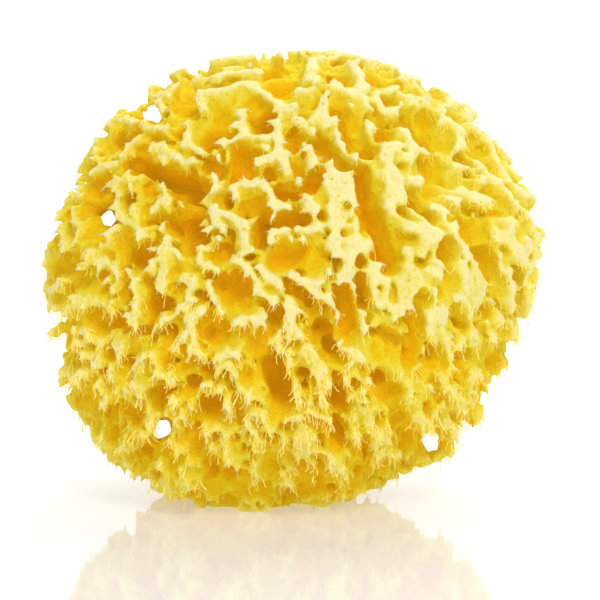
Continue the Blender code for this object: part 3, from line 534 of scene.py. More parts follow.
def skin_distance():
    x, y, z = (along_axis(AXES[i] - CENTRE[i], i) for i in range(3))
    up = y * UP[1] + z * UP[2]
    forward = y * FORWARD[1] + z * FORWARD[2]
    turns = np.arange(TURN_STEPS + 1) / TURN_STEPS
    radii = outline_radius(np.cos(turns * 2 * math.pi), np.sin(turns * 2 * math.pi))
    radius = np.interp(np.arctan2(up, x) / (2 * math.pi) % 1.0, turns, radii)
    share = np.sqrt((x * x + up * up) / radius ** 2 + (forward / HALF_DEPTH) ** 2)
    far = np.sqrt(x * x + y * y + z * z)
    swell = BROAD_LUMP * noise_in_cells(BROAD_LUMP_WIDTH, 1)
    swell = swell + SMALL_LUMP * noise_in_cells(SMALL_LUMP_WIDTH, 2)
    swell = swell * np.clip(LUMP_RISE * np.abs(forward) / HALF_DEPTH, LUMP_AT_RIM, 1.0)
    return (far * (1 - 1 / np.maximum(share, 1e-3)) - swell).astype(np.float32)


skin = skin_distance() + SKIN_INSET
near_skin = np.clip(1 + skin / NEAR_SKIN, 0, 1)
print("cells inside the skin:", int((skin < 0).sum()))

# %% [markdown]
# ## Where the skin is torn and where it is smooth
# The photo shows smooth broad folds at the top and on the right, and torn stars
# with hairy tips everywhere else. One number says how torn the skin is at a
# place, and the bites, the spikes and the hairs all follow it. Soft steps have
# a middle and a width in millimetres, kept here as pairs.

# %% How torn the skin is
RIGHT_OF = (16, 5)
ABOVE_LOW_PART = (-22, 8)
TOP = (50, 4)
IN_FRONT_OF = (-10, 6)
SMOOTH_RIGHT = 0.80
SMOOTH_TOP = 0.65
TORN_BEHIND = 0.5
TORN_VARIETY = 0.35
TORN_VARIETY_WIDTH = 30 * MM


def rising(value, middle, width):
    """A soft step from 0 to 1."""
    return 1 / (1 + np.exp(-(value - middle) / width))


def torn(points):
    """1 where the skin is torn into stars, 0 where it is smooth."""
    away = points - CENTRE
    across, up = away @ ACROSS / MM, away @ UP / MM
    smooth = SMOOTH_RIGHT * rising(across, *RIGHT_OF) * rising(up, *ABOVE_LOW_PART)
    smooth = np.maximum(smooth, SMOOTH_TOP * rising(up, *TOP))
    wild = TORN_BEHIND + TORN_VARIETY * noise_at(points, TORN_VARIETY_WIDTH, 41)
    front = rising(away @ FORWARD / MM, *IN_FRONT_OF)
    return np.clip(front * (1 - smooth) + (1 - front) * wild, 0, 1)


print("torn at the middle of the front:", round(float(torn(on_front(0, 0)[None])[0]), 2))

# %% [markdown]
# ## Bubbles, bites and shafts
# Each cell's place is shaken a little by noise before it is measured, so no
# bubble comes out as a true ball. The outermost layer is also slid downwards,
# which makes the torn edges hang as they do on the real sponge.

# %% Cell places, shaken
BROAD_SHAKE = 0.9 * MM
BROAD_SHAKE_WIDTH = 8 * MM
FINE_SHAKE = 0.4 * MM
FINE_SHAKE_WIDTH = 3.5 * MM
EDGE_HANG = 1.3 * MM


def shaken_places():
    places = []
    for i, axis in enumerate(AXES):
        shift = BROAD_SHAKE * noise_in_cells(BROAD_SHAKE_WIDTH, 10 + i)
        shift = shift + FINE_SHAKE * noise_in_cells(FINE_SHAKE_WIDTH, 20 + i)
        if i == 2:
            shift = shift + EDGE_HANG * near_skin
        places.append((along_axis(axis, i) + shift).astype(np.float32))
    return places


cell_places = shaken_places()
emptied = np.full(SHAPE, UNTOUCHED, np.float32)
print("cell places shaken")

# %% Taking out balls and holes
BLOCK_MARGIN = 3.5 * MM
ABOVE_THE_MOUTH = 4


def around(low, high):
    """The block of cells between two corners."""
    spans = []
    for axis in range(3):
        first = int((low[axis] - LOW[axis]) / VOXEL)
        last = int((high[axis] - LOW[axis]) / VOXEL) + 2
        spans.append(slice(max(first, 0), max(last, 0)))
    return tuple(spans)


def soft_min(a, b, blend):
    h = np.maximum(blend - np.abs(a - b), 0) / blend
    return np.minimum(a, b) - h * h * blend / 4


def measured_along(way, x, y, z):
    return x * way[0] + y * way[1] + z * way[2]


def bubble(centre, inward, radius, stretch, blend):
    """Takes out a ball, stretched along inward."""
    reach = radius * max(1, stretch) + BLOCK_MARGIN
    block = around(centre - reach, centre + reach)
    x, y, z = (p[block] - c for p, c in zip(cell_places, centre))
    t = measured_along(inward, x, y, z)
    side = np.maximum(x * x + y * y + z * z - t * t, 0)
    gone = np.sqrt(side + (t / stretch) ** 2) - radius
    emptied[block] = soft_min(emptied[block], gone, blend)


def shaft(start, end, inward, radius, depth, blend):
    """Takes out a round-ended hole, or a long one from start to end."""
    corners = np.array([start, end, start + inward * depth, end + inward * depth,
                        start - inward * ABOVE_THE_MOUTH * MM, end - inward * ABOVE_THE_MOUTH * MM])
    block = around(corners.min(0) - radius - BLOCK_MARGIN, corners.max(0) + radius + BLOCK_MARGIN)
    x, y, z = (p[block] - c for p, c in zip(cell_places, start))
    run = end - start
    length = float(run @ run)
    if length > 0:
        s = np.clip(measured_along(run, x, y, z) / length, 0, 1)
        x, y, z = x - s * run[0], y - s * run[1], z - s * run[2]
    t = measured_along(inward, x, y, z)
    side = np.maximum(x * x + y * y + z * z - t * t, 0)
    t = np.maximum(t, 0)
    gone = (np.sqrt(side / radius ** 2 + (t / depth) ** 2) - 1) * radius
    emptied[block] = soft_min(emptied[block], gone, blend)


print("cells in a block of 10 mm:", np.zeros(SHAPE)[around(CENTRE, CENTRE + 10 * MM)].shape)

# %% The ridges' own distance
MOST_ROOM = 5 * MM
WALL_HANG = 8 * MM
WALL_ABOVE = 2
WALL_MARGIN = 6 * MM
WALL_WIDER = (0.9, -0.3)


def changed_by(pair, share):
    """The pair's first value, plus its second as far as the share says."""
    return pair[0] + pair[1] * share


def ridge_rooms():
    """How far each cell is from the wall that hangs under the nearest ridge."""
    room = np.full(SHAPE, MOST_ROOM, np.float32)
    for width, points in skin_ridges:
        for a, b in zip(points, points[1:]):
            inward = unit(CENTRE - (a + b) / 2)
            half = width / 2 + changed_by(WALL_WIDER, float(torn(a[None])[0])) * MM
            corners = np.array([a, b, a + inward * WALL_HANG, b + inward * WALL_HANG,
                                a - inward * WALL_ABOVE * MM])
            block = around(corners.min(0) - WALL_MARGIN, corners.max(0) + WALL_MARGIN)
            x, y, z = (p[block] - c for p, c in zip(cell_places, a))
            run = b - a
            s = np.clip(measured_along(run, x, y, z) / max(float(run @ run), 1e-12), 0, 1)
            x, y, z = x - s * run[0], y - s * run[1], z - s * run[2]
            t = np.clip(measured_along(inward, x, y, z), -WALL_ABOVE * MM, WALL_HANG)
            x, y, z = x - t * inward[0], y - t * inward[1], z - t * inward[2]
            away = np.sqrt(x * x + y * y + z * z) - half
            room[block] = np.minimum(room[block], away)
    return room


rooms = ridge_rooms()
print("cells in a ridge's wall:", int((rooms < 0).sum()))

# %% Tornness in cells
COARSER = 8


def torn_in_cells():
    """torn(), measured on a coarse set of cells and spread over the fine ones."""
    coarse = [axis[::COARSER] for axis in AXES]
    places = np.stack(np.meshgrid(*coarse, indexing="ij"), -1).reshape(-1, 3)
    out = torn(places).reshape([len(c) for c in coarse]).astype(np.float32)
    for axis in range(3):
        place = np.arange(SHAPE[axis]) / COARSER
        first = np.minimum(place.astype(int), out.shape[axis] - 2)
        t = along_axis(np.clip(place - first, 0, 1).astype(np.float32), axis)
        out = np.take(out, first, axis) * (1 - t) + np.take(out, first + 1, axis) * t
    return out


torn_cells = torn_in_cells()
print("mean tornness of all cells:", round(float(torn_cells.mean()), 2))

# %% Valleys between the ridges
VALLEY_SLOPE = 5.5 * MM
EDGE_START = 0.5 * MM
EDGE_STEEPNESS = 4.5
EDGE_SHARE = 0.40
SLOPE_SHARE = 0.60
VALLEY_DEPTH = (1.7, 2.3)
VALLEY_VARIETY = 0.32
VALLEY_VARIETY_WIDTH = 11 * MM
RIM_REACH = 14
RIM_STARTS = (-25, 6)
FLATTER_LOW = 0.30
LOW_DOWN = (14, 5)
FLATTER_LOWEST = 0.40
LOWEST = (42, 3.5)
FLATTER_RIM = 0.4


def sunk_share(room):
    """A short steep edge beside the ridge, then a long soft slope into the valley."""
    u = np.clip((room + EDGE_START) / VALLEY_SLOPE, 0, 1)
    edge = np.clip(EDGE_STEEPNESS * u, 0, 1)
    return EDGE_SHARE * edge * edge * (3 - 2 * edge) + SLOPE_SHARE * u * (2 - u)


def relief_at(up, forward):
    """How far the ridges stand out: less low down, and less round the rim seen from the front."""
    rim = np.exp(-(forward / RIM_REACH) ** 2) * rising(up, *RIM_STARTS)
    flatter = 1 - FLATTER_LOW * rising(-up, *LOW_DOWN) - FLATTER_LOWEST * rising(-up, *LOWEST)
    return flatter * (1 - FLATTER_RIM * rim)


def cells_along(way):
    """How far each cell lies from the centre along up or forward, in millimetres."""
    y = along_axis(AXES[1] - CENTRE[1], 1)
    z = along_axis(AXES[2] - CENTRE[2], 2)
    return (y * way[1] + z * way[2]) / MM


valley = changed_by(VALLEY_DEPTH, torn_cells) * relief_at(cells_along(UP), cells_along(FORWARD))
valley = valley * (1 + VALLEY_VARIETY * noise_in_cells(VALLEY_VARIETY_WIDTH, 51)) * MM
surface = skin + sunk_share(rooms) * valley
print("cells inside the valleys' floor:", int((surface < 0).sum()))

# %% Bowls between the ridges, with most of the small ones left out
SMALL_BOWL = 3.0 * MM
LEFT_OUT = 0.72
BOWL_SINK = 0.85
BOWL_SIZE_SHARE = 0.85
BOWL_STRETCH = (0.9, 1.6)
BOWL_EDGE = 1.2 * MM


def valley_at(place, free):
    depth = changed_by(VALLEY_DEPTH, float(torn(place[None])[0]))
    away = (place - CENTRE) / MM
    return float(sunk_share(free) * depth * relief_at(away @ UP, away @ FORWARD)) * MM


bowl_count = 0
for place, size in zip(bowl_places, bowl_sizes):
    if size < SMALL_BOWL and rng.random() < LEFT_OUT:
        continue
    inward = unit(CENTRE - place)
    sunk = BOWL_SINK * valley_at(place, size)
    stretch = rng.uniform(*BOWL_STRETCH)
    bubble(place + inward * sunk, inward, BOWL_SIZE_SHARE * size, stretch, BOWL_EDGE)
    bowl_count += 1
print(bowl_count, "bowls taken out")

# %% Keeping places apart
class Crowd:
    """Remembers places, and says whether a new one is too close to them."""

    def __init__(self, gap):
        self.gap = gap
        self.cells = {}

    def admits(self, place, gap):
        i, j, k = (int(c) for c in place // self.gap)
        for a in (i - 1, i, i + 1):
            for b in (j - 1, j, j + 1):
                for c in (k - 1, k, k + 1):
                    for other in self.cells.get((a, b, c), ()):
                        d = other - place
                        if d @ d < gap * gap:
                            return False
        self.cells.setdefault((i, j, k), []).append(place)
        return True


twice = Crowd(5 * MM)
print("a place is admitted once:", [twice.admits(CENTRE, 1 * MM) for _ in range(2)])

# %% Bites that leave pointed corners
BITE_TRIES = 26000
BITE_CELL = 5 * MM
LEAST_BITE_ROOM = 0.7 * MM
MOST_BITE_ROOM = 2.2 * MM
BITE_CHANCE = (0.05, 0.85)
BITE_GAP = (5.4, -2.2)
BITE_FIT = (0.8, 1.2)
BITE_SINK = 0.4
BITE_STRETCH = (1.1, 1.8)
BITE_EDGE = 0.35 * MM

candidates = on_skin(rng.standard_normal((BITE_TRIES, 3)))
room = room_at(candidates, marks, halves)
tornness = torn(candidates)
crowd = Crowd(BITE_CELL)
bite_count = 0
for place, free, rough in zip(candidates, room, tornness):
    if free < LEAST_BITE_ROOM or free > MOST_BITE_ROOM:
        continue
    if rng.random() > changed_by(BITE_CHANCE, rough):
        continue
    if not crowd.admits(place, changed_by(BITE_GAP, rough) * MM):
        continue
    radius = free * rng.uniform(*BITE_FIT)
    inward = unit(CENTRE - place)
    bubble(place + inward * radius * BITE_SINK, inward, radius, rng.uniform(*BITE_STRETCH), BITE_EDGE)
    bite_count += 1
print(bite_count, "bites")

# %% Dimples that crowd the lower half
DIMPLE_TRIES = 9000
DIMPLE_CELL = 6 * MM
DIMPLES_BELOW = (6, 7)
DIMPLE_RADIUS = (1.2, 2.9)
DIMPLE_ROOM = (2.0, -2.2)
DIMPLE_CHANCE = (0.12, 0.88)
DIMPLE_GAP_SHARE = 1.3
DIMPLE_GAP = 1.5 * MM
DIMPLE_SINK = 0.1
DIMPLE_STRETCH = (1.0, 1.6)
DIMPLE_EDGE = 0.5 * MM

candidates = on_skin(rng.standard_normal((DIMPLE_TRIES, 3)))
room = room_at(candidates, marks, halves)
crowd = Crowd(DIMPLE_CELL)
dimple_count = 0
for place, free in zip(candidates, room):
    up = float((place - CENTRE) @ UP) / MM
    low = float(rising(-up, *DIMPLES_BELOW))
    radius = rng.uniform(*DIMPLE_RADIUS) * MM
    if free < changed_by(DIMPLE_ROOM, low) * MM or rng.random() > changed_by(DIMPLE_CHANCE, low):
        continue
    if not crowd.admits(place, DIMPLE_GAP_SHARE * radius + DIMPLE_GAP):
        continue
    inward = unit(CENTRE - place)
    sunk = valley_at(place, free) + DIMPLE_SINK * radius
    bubble(place + inward * sunk, inward, radius, rng.uniform(*DIMPLE_STRETCH), DIMPLE_EDGE)
    dimple_count += 1
print(dimple_count, "dimples")

# %% Holes
HOLE_INWARD = 0.8
HOLE_FORWARD = 0.2
HOLE_SINK = 0.8
HOLE_WIDER = 1.12
HOLE_DEEPER = 1.1
HOLE_EDGE = 0.5 * MM

for start, end, radius, depth in holes:
    inward = unit(CENTRE - (start + end) / 2)
    if on_listed_front(start):
        inward = unit(HOLE_INWARD * inward - HOLE_FORWARD * FORWARD)
    sunk = inward * HOLE_SINK * valley_at(start, radius)
    shaft(start + sunk, end + sunk, inward, HOLE_WIDER * radius, HOLE_DEEPER * depth, HOLE_EDGE)
print(len(holes), "holes taken out")

# %% Canals along the line of sight, wider inside than at their mouths
CANAL_WIDER = 0.3
CANAL_DEPTH = 60 * MM
CANAL_EDGE = 0.8 * MM
INNER_START = 14
INNER_END = 85
INNER_RADIUS = 3.2 * MM
INNER_DEPTH = 4 * MM
INNER_EDGE = 1.5 * MM

for across, up, length, width, lean in CANALS:
    entry = on_front(across, up)
    along = unit(entry - CENTRE - FORWARD * VIEWED_FROM)
    turn = math.radians(lean)
    half = (ACROSS * math.cos(turn) + UP * math.sin(turn)) * (length - width) / 2 * MM
    shaft(entry - half, entry + half, along, (width / 2 + CANAL_WIDER) * MM, CANAL_DEPTH, CANAL_EDGE)
    inner_start = entry + along * INNER_START * MM
    inner_end = entry + along * INNER_END * MM
    shaft(inner_start, inner_end, along, INNER_RADIUS, INNER_DEPTH, INNER_EDGE)
print(len(CANALS), "canals taken out")

# %% Pores
PORE_COUNT = 800
PORE_BELOW = (2.0, 8)
PORE_TILT = 0.6
PORE_RADIUS = (0.6, 1.5)
PORE_STRETCH = (1.2, 2.4)
PORE_EDGE = 0.6 * MM

for place in on_skin(rng.standard_normal((PORE_COUNT, 3))):
    inward = unit(CENTRE - place)
    start = place + inward * rng.uniform(*PORE_BELOW) * MM
    axis = unit(inward + rng.uniform(-PORE_TILT, PORE_TILT, 3))
    radius = rng.uniform(*PORE_RADIUS) * MM
    shaft(start, start, axis, radius, radius * rng.uniform(*PORE_STRETCH), PORE_EDGE)
print(PORE_COUNT, "pores taken out")

# %% The solid that is left, with rounded ridges
GRAIN_WIDTH = 1.8 * MM
SKIN_GRAIN = (0.08, 0.14)
WALL_GRAIN = 0.12 * MM
ROUNDING = (1.9, -0.9)

grain = noise_in_cells(GRAIN_WIDTH, 31)
outer = surface + changed_by(SKIN_GRAIN, torn_cells) * MM * grain * near_skin
walls = -emptied + WALL_GRAIN * grain
solid_field = -soft_min(-outer, -walls, changed_by(ROUNDING, torn_cells) * MM)
print("cells of sponge:", int((solid_field < 0).sum()))

# %% [markdown]
# ## Spikes on the torn corners
# Many torn corners of the skin end in a small drooping point. A blurred copy of
# the solid shows where the corners are, because little sponge lies around them,
# and its slope says which way each corner points.

# %% Corners, found by blurring
NEAR_REACH = int(round(2.2 * MM / VOXEL))
CORNER_LAYER = 0.6 * VOXEL
CORNER_DEPTH = 1.5 * MM
CORNER_CROWDING = 0.30
ORDER_SHAKE = 0.10


def blurred(volume, reach):
    for axis in range(3):
        pad = [(0, 0)] * 3
        pad[axis] = (reach + 1, reach)
        sums = np.cumsum(np.pad(volume, pad, mode="edge"), axis=axis, dtype=np.float32)
        count = volume.shape[axis]
        high = np.take(sums, np.arange(count) + 2 * reach + 1, axis)
        volume = (high - np.take(sums, np.arange(count), axis)) / (2 * reach + 1)
    return volume


def crowding_of(solid, reach):
    """How much sponge lies round each cell, blurred twice."""
    return blurred(blurred(solid.astype(np.float32), reach), max(1, reach // 2))


crowding = crowding_of(solid_field < 0, NEAR_REACH)
on_surface = np.abs(solid_field) < CORNER_LAYER
at_corner = on_surface & (surface > -CORNER_DEPTH) & (crowding < CORNER_CROWDING)
corner_cells = np.argwhere(at_corner)
slope = np.stack([np.gradient(crowding, axis=axis)[at_corner] for axis in range(3)], 1)
corner_order = np.argsort(crowding[at_corner] + rng.uniform(0, ORDER_SHAKE, len(corner_cells)))
print(len(corner_cells), "corner cells")

# %% Spikes
SPIKE_CELL = 14 * MM
SPIKE_MARGIN = 2 * MM
SPIKE_CHANCE = (0.05, 0.8)
SPIKES_BELOW = (6, 6)
SPIKE_RIM = 14 * MM
SPIKE_GAP = (2.6, 6.0)
CLOSER_LOW = 0.15
SPARSE_WHERE_SMOOTH = 2.0
SPARSE_AT_RIM = 0.8
LESS_OUTWARD = 0.45
SPIKE_DROOP = (0.35, 0.6)
SPIKE_SHAKE = 0.35
LEAST_LENGTH = 0.8
MOST_LENGTH = 1.3
LONGER_TORN = 1.9
LONGER_LOW = 0.4
SHORTER_AT_RIM = 0.5
LEAST_WIDTH = 0.55
MOST_WIDTH = (0.95, -0.25)
SPIKE_ROOT = 1.3
SPIKE_POINT = 0.15 * MM


def spike(start, end, wide, thin):
    block = around(np.minimum(start, end) - SPIKE_MARGIN, np.maximum(start, end) + SPIKE_MARGIN)
    x, y, z = (along_axis(AXES[i][block[i]], i) - start[i] for i in range(3))
    run = end - start
    s = np.clip(measured_along(run, x, y, z) / (run @ run), 0, 1)
    away = np.sqrt((x - s * run[0]) ** 2 + (y - s * run[1]) ** 2 + (z - s * run[2]) ** 2)
    spikes[block] = np.minimum(spikes[block], away - (wide + (thin - wide) * s))


spikes = np.full(SHAPE, UNTOUCHED, np.float32)
corner_places = LOW + corner_cells * VOXEL
corner_torn = torn(corner_places)
crowd = Crowd(SPIKE_CELL)
spike_count = 0
for i in corner_order:
    rough = corner_torn[i]
    if rng.random() > SPIKE_CHANCE[0] + SPIKE_CHANCE[1] * rough * rough:
        continue
    place = corner_places[i]
    away = place - CENTRE
    low = float(rising(-away @ UP / MM, *SPIKES_BELOW))
    rim = math.exp(-((away @ FORWARD) / SPIKE_RIM) ** 2)
    sparse = (1 - CLOSER_LOW * low) * (SPARSE_WHERE_SMOOTH - rough) * (1 + SPARSE_AT_RIM * rim)
    if not crowd.admits(place, rng.uniform(*SPIKE_GAP) * sparse * MM):
        continue
    outward = unit(away)
    heading = -slope[i] / (np.linalg.norm(slope[i]) + 1e-9)
    heading = heading - LESS_OUTWARD * outward * max(0.0, float(heading @ outward))
    droop = np.array([0, 0, -changed_by(SPIKE_DROOP, low)])
    heading = unit(heading + droop + rng.uniform(-SPIKE_SHAKE, SPIKE_SHAKE, 3))
    longest = MOST_LENGTH + LONGER_TORN * rough + LONGER_LOW * low
    length = rng.uniform(LEAST_LENGTH, longest) * (1 - SHORTER_AT_RIM * rim) * MM
    wide = rng.uniform(LEAST_WIDTH, changed_by(MOST_WIDTH, low)) * MM
    spike(place - heading * SPIKE_ROOT * MM, place + heading * length, wide, SPIKE_POINT)
    spike_count += 1
print(spike_count, "spikes")

# %% The finished field
SPIKE_BLEND = 0.8 * MM
solid_field = soft_min(solid_field, spikes, SPIKE_BLEND)
solid_field = np.maximum(solid_field, -along_axis(AXES[2], 2)).astype(np.float32)
print("cells of sponge with its spikes:", int((solid_field < 0).sum()))

# %% [markdown]
# ## The mesh
# Blender's volume library wraps the zero level of the field in faces. Crumbs
# that hang free are dropped. A Decimate modifier then thins the faces, and a
# vertex group asks it to thin the deep ones, which are seen least, the most.

# %% Faces round the solid
def largest_body(points, quads):
    """Drops every loose crumb."""
    label = np.arange(len(points))
    a, b = np.concatenate([quads[:, [0, 1]], quads[:, [1, 2]], quads[:, [2, 3]]]).T
    while True:
        lowest = np.minimum(label[a], label[b])
        new = label.copy()
        np.minimum.at(new, a, lowest)
        np.minimum.at(new, b, lowest)
        new = new[new]
        if np.array_equal(new, label):
            break
        label = new
    names, counts = np.unique(label, return_counts=True)
    keep = label == names[np.argmax(counts)]
    number = np.cumsum(keep) - 1
    return points[keep], number[quads[keep[quads[:, 0]]]]


grid = openvdb.FloatGrid(3 * VOXEL)
grid.copyFromArray(solid_field)
points, _, quads = grid.convertToPolygons(0.0, 0.0)
points, quads = largest_body(points * VOXEL + LOW, quads)
body_mesh = bpy.data.meshes.new("sponge_body")
body_mesh.vertices.add(len(points))
body_mesh.vertices.foreach_set("co", points.astype(np.float32).ravel())
body_mesh.loops.add(quads.size)
body_mesh.loops.foreach_set("vertex_index", quads.astype(np.int32).ravel())
body_mesh.polygons.add(len(quads))
body_mesh.polygons.foreach_set("loop_start", (np.arange(len(quads)) * 4).astype(np.int32))
body_mesh.update(calc_edges=True)
print(len(quads), "faces before thinning")

# %% Thin it out
MOST_TRIANGLES = 196000
DEEP_ENOUGH = 8 * MM
THINNING_LEVELS = 4
LEAST_THINNING = 0.1
THINNING_STEP = 0.1
body = bpy.data.objects.new("sponge_body", body_mesh)
bpy.context.scene.collection.objects.link(body)
thin = body.modifiers.new("thin", "DECIMATE")
thin.ratio = min(1.0, MOST_TRIANGLES / (2 * len(quads)))
deepness = np.clip(-corner_mix(skin, (points - LOW) / VOXEL) / DEEP_ENOUGH, 0, 1)
thin_here = body.vertex_groups.new(name="thin_here")
for level in range(THINNING_LEVELS + 1):
    chosen = np.nonzero(np.round(THINNING_LEVELS * deepness) == level)[0]
    thin_here.add(chosen.tolist(), LEAST_THINNING + THINNING_STEP * level, "REPLACE")
thin.vertex_group = "thin_here"
thin.use_collapse_triangulate = True
evaluated = body.evaluated_get(bpy.context.evaluated_depsgraph_get())
thinned = bpy.data.meshes.new_from_object(evaluated)
body.modifiers.clear()
body.vertex_groups.clear()
body.data = thinned
body.data.name = "sponge_body"
body.data.shade_smooth()
print(len(body.data.polygons), "triangles in the body")

# %% [markdown]
# ## What the colours need to know
# The torn tips are painted pale and the depths a glowing orange: painted light and
# shade. Six numbers are stored on every point of the mesh: how deep it lies under
# the skin, how far it lies low down and on the left, where shade is painted, how
# torn its skin is, how far its face is turned away from straight outwards, and how
# much sponge crowds round it close by and further off. A shader can't look round
# itself, so this is measured once here.

# %% Store the numbers on the mesh
FAR_REACH = int(round(5 * MM / VOXEL))
SHADE_BELOW = (16, 7)
SHADE_LEFT_OF = (26, 8)
SHADE_LEFT_SHARE = 0.8


def store(mesh, name, values):
    layer = mesh.attributes.new(name, "FLOAT", "POINT")
    layer.data.foreach_set("value", np.asarray(values, dtype=np.float32))


crowding = crowding_of(solid_field < 0, NEAR_REACH)
wide_crowding = crowding_of(solid_field < 0, FAR_REACH)
where = np.empty(len(body.data.vertices) * 3, np.float32)
body.data.vertices.foreach_get("co", where)
where = where.reshape(-1, 3).astype(float)
cells_at = (where - LOW) / VOXEL
depth_mm = -corner_mix(skin, cells_at) / MM
store(body.data, "depth", depth_mm)
# Painted shade: a share that rises low down and on the left, where the colour is pushed towards golden
# to stand for the shaded side of the sponge.
shade_below = rising(-(where - CENTRE) @ UP / MM, *SHADE_BELOW)
shade_left_side = SHADE_LEFT_SHARE * rising(-(where - CENTRE) @ ACROSS / MM, *SHADE_LEFT_OF)
store(body.data, "shade_low_left", np.maximum(shade_below, shade_left_side))
store(body.data, "torn", torn(where))
facing = np.empty(len(body.data.vertices) * 3, np.float32)
body.data.vertices.foreach_get("normal", facing)
outward = (where - CENTRE) / np.linalg.norm(where - CENTRE, axis=1)[:, None]
store(body.data, "turned_away", 1 - np.sum(facing.reshape(-1, 3) * outward, axis=1))
store(body.data, "crowding", corner_mix(crowding, cells_at))
store(body.data, "wide_crowding", corner_mix(wide_crowding, cells_at))
print("deepest point, mm:", round(float(depth_mm.max()), 1))

# %% [markdown]
# ## The sponge's material
# Dry spongin is matt and lets light through, so the shader spreads light under
# the surface, most of all red and yellow. The colour runs from cream at the
# torn tips over golden yellow to deep orange down the holes, which paints light
# on the thin tips and shade down the holes. Most of the stored numbers and
# patterns have a middle value and a weight, and the sum of them all says how far
# along that run a place is.

# %% Helpers for node trees
def add(tree, kind, **values):
    node = tree.nodes.new(kind)
    for name, value in values.items():
        if hasattr(node, name):
            setattr(node, name, value)
        else:
            node.inputs[name.replace("_", " ")].default_value = value
    return node


def math_node(tree, operation, first, second, clamp=False):
    node = tree.nodes.new("ShaderNodeMath")
    node.operation = operation
    node.use_clamp = clamp
    for socket, value in zip(node.inputs, (first, second)):
        if isinstance(value, (int, float)):
            socket.default_value = value
        else:
            tree.links.new(value, socket)
    return node.outputs[0]


def ramp(tree, factor, stops):
    node = tree.nodes.new("ShaderNodeValToRGB")
    first, last = node.color_ramp.elements
    first.position, first.color = stops[0][0], (*stops[0][1], 1)
    last.position, last.color = stops[-1][0], (*stops[-1][1], 1)
    for position, colour in stops[1:-1]:
        node.color_ramp.elements.new(position).color = (*colour, 1)
    tree.links.new(factor, node.inputs[0])
    return node.outputs[0]


print("three helpers: a node, a sum and a run of colours")

# %% Spongin
GOLDEN_RUN = [
    (0.00, (0.90, 0.83, 0.45)), (0.10, (0.86, 0.77, 0.21)), (0.24, (0.83, 0.70, 0.07)),
    (0.42, (0.82, 0.64, 0.02)), (0.60, (0.84, 0.56, 0.003)), (1.00, (0.85, 0.46, 0.001))]
# A painted glow: the spongin gives off a faint orange light all over, which warms its shaded sides as
# light coming through the sponge would.
PAINTED_GLOW = (0.88, 0.67, 0.01, 1)
PAINTED_GLOW_STRENGTH = 0.13
LIGHT_SPREADS = 0.0018
FULL_DEPTH_MM = 12
DEPTH_CURVE = 0.8


def weighted(tree, socket, middle, weight):
    return math_node(tree, "MULTIPLY", math_node(tree, "SUBTRACT", socket, middle), weight)


def total(tree, parts):
    out = parts[0]
    for part in parts[1:]:
        out = math_node(tree, "ADD", out, part)
    return out


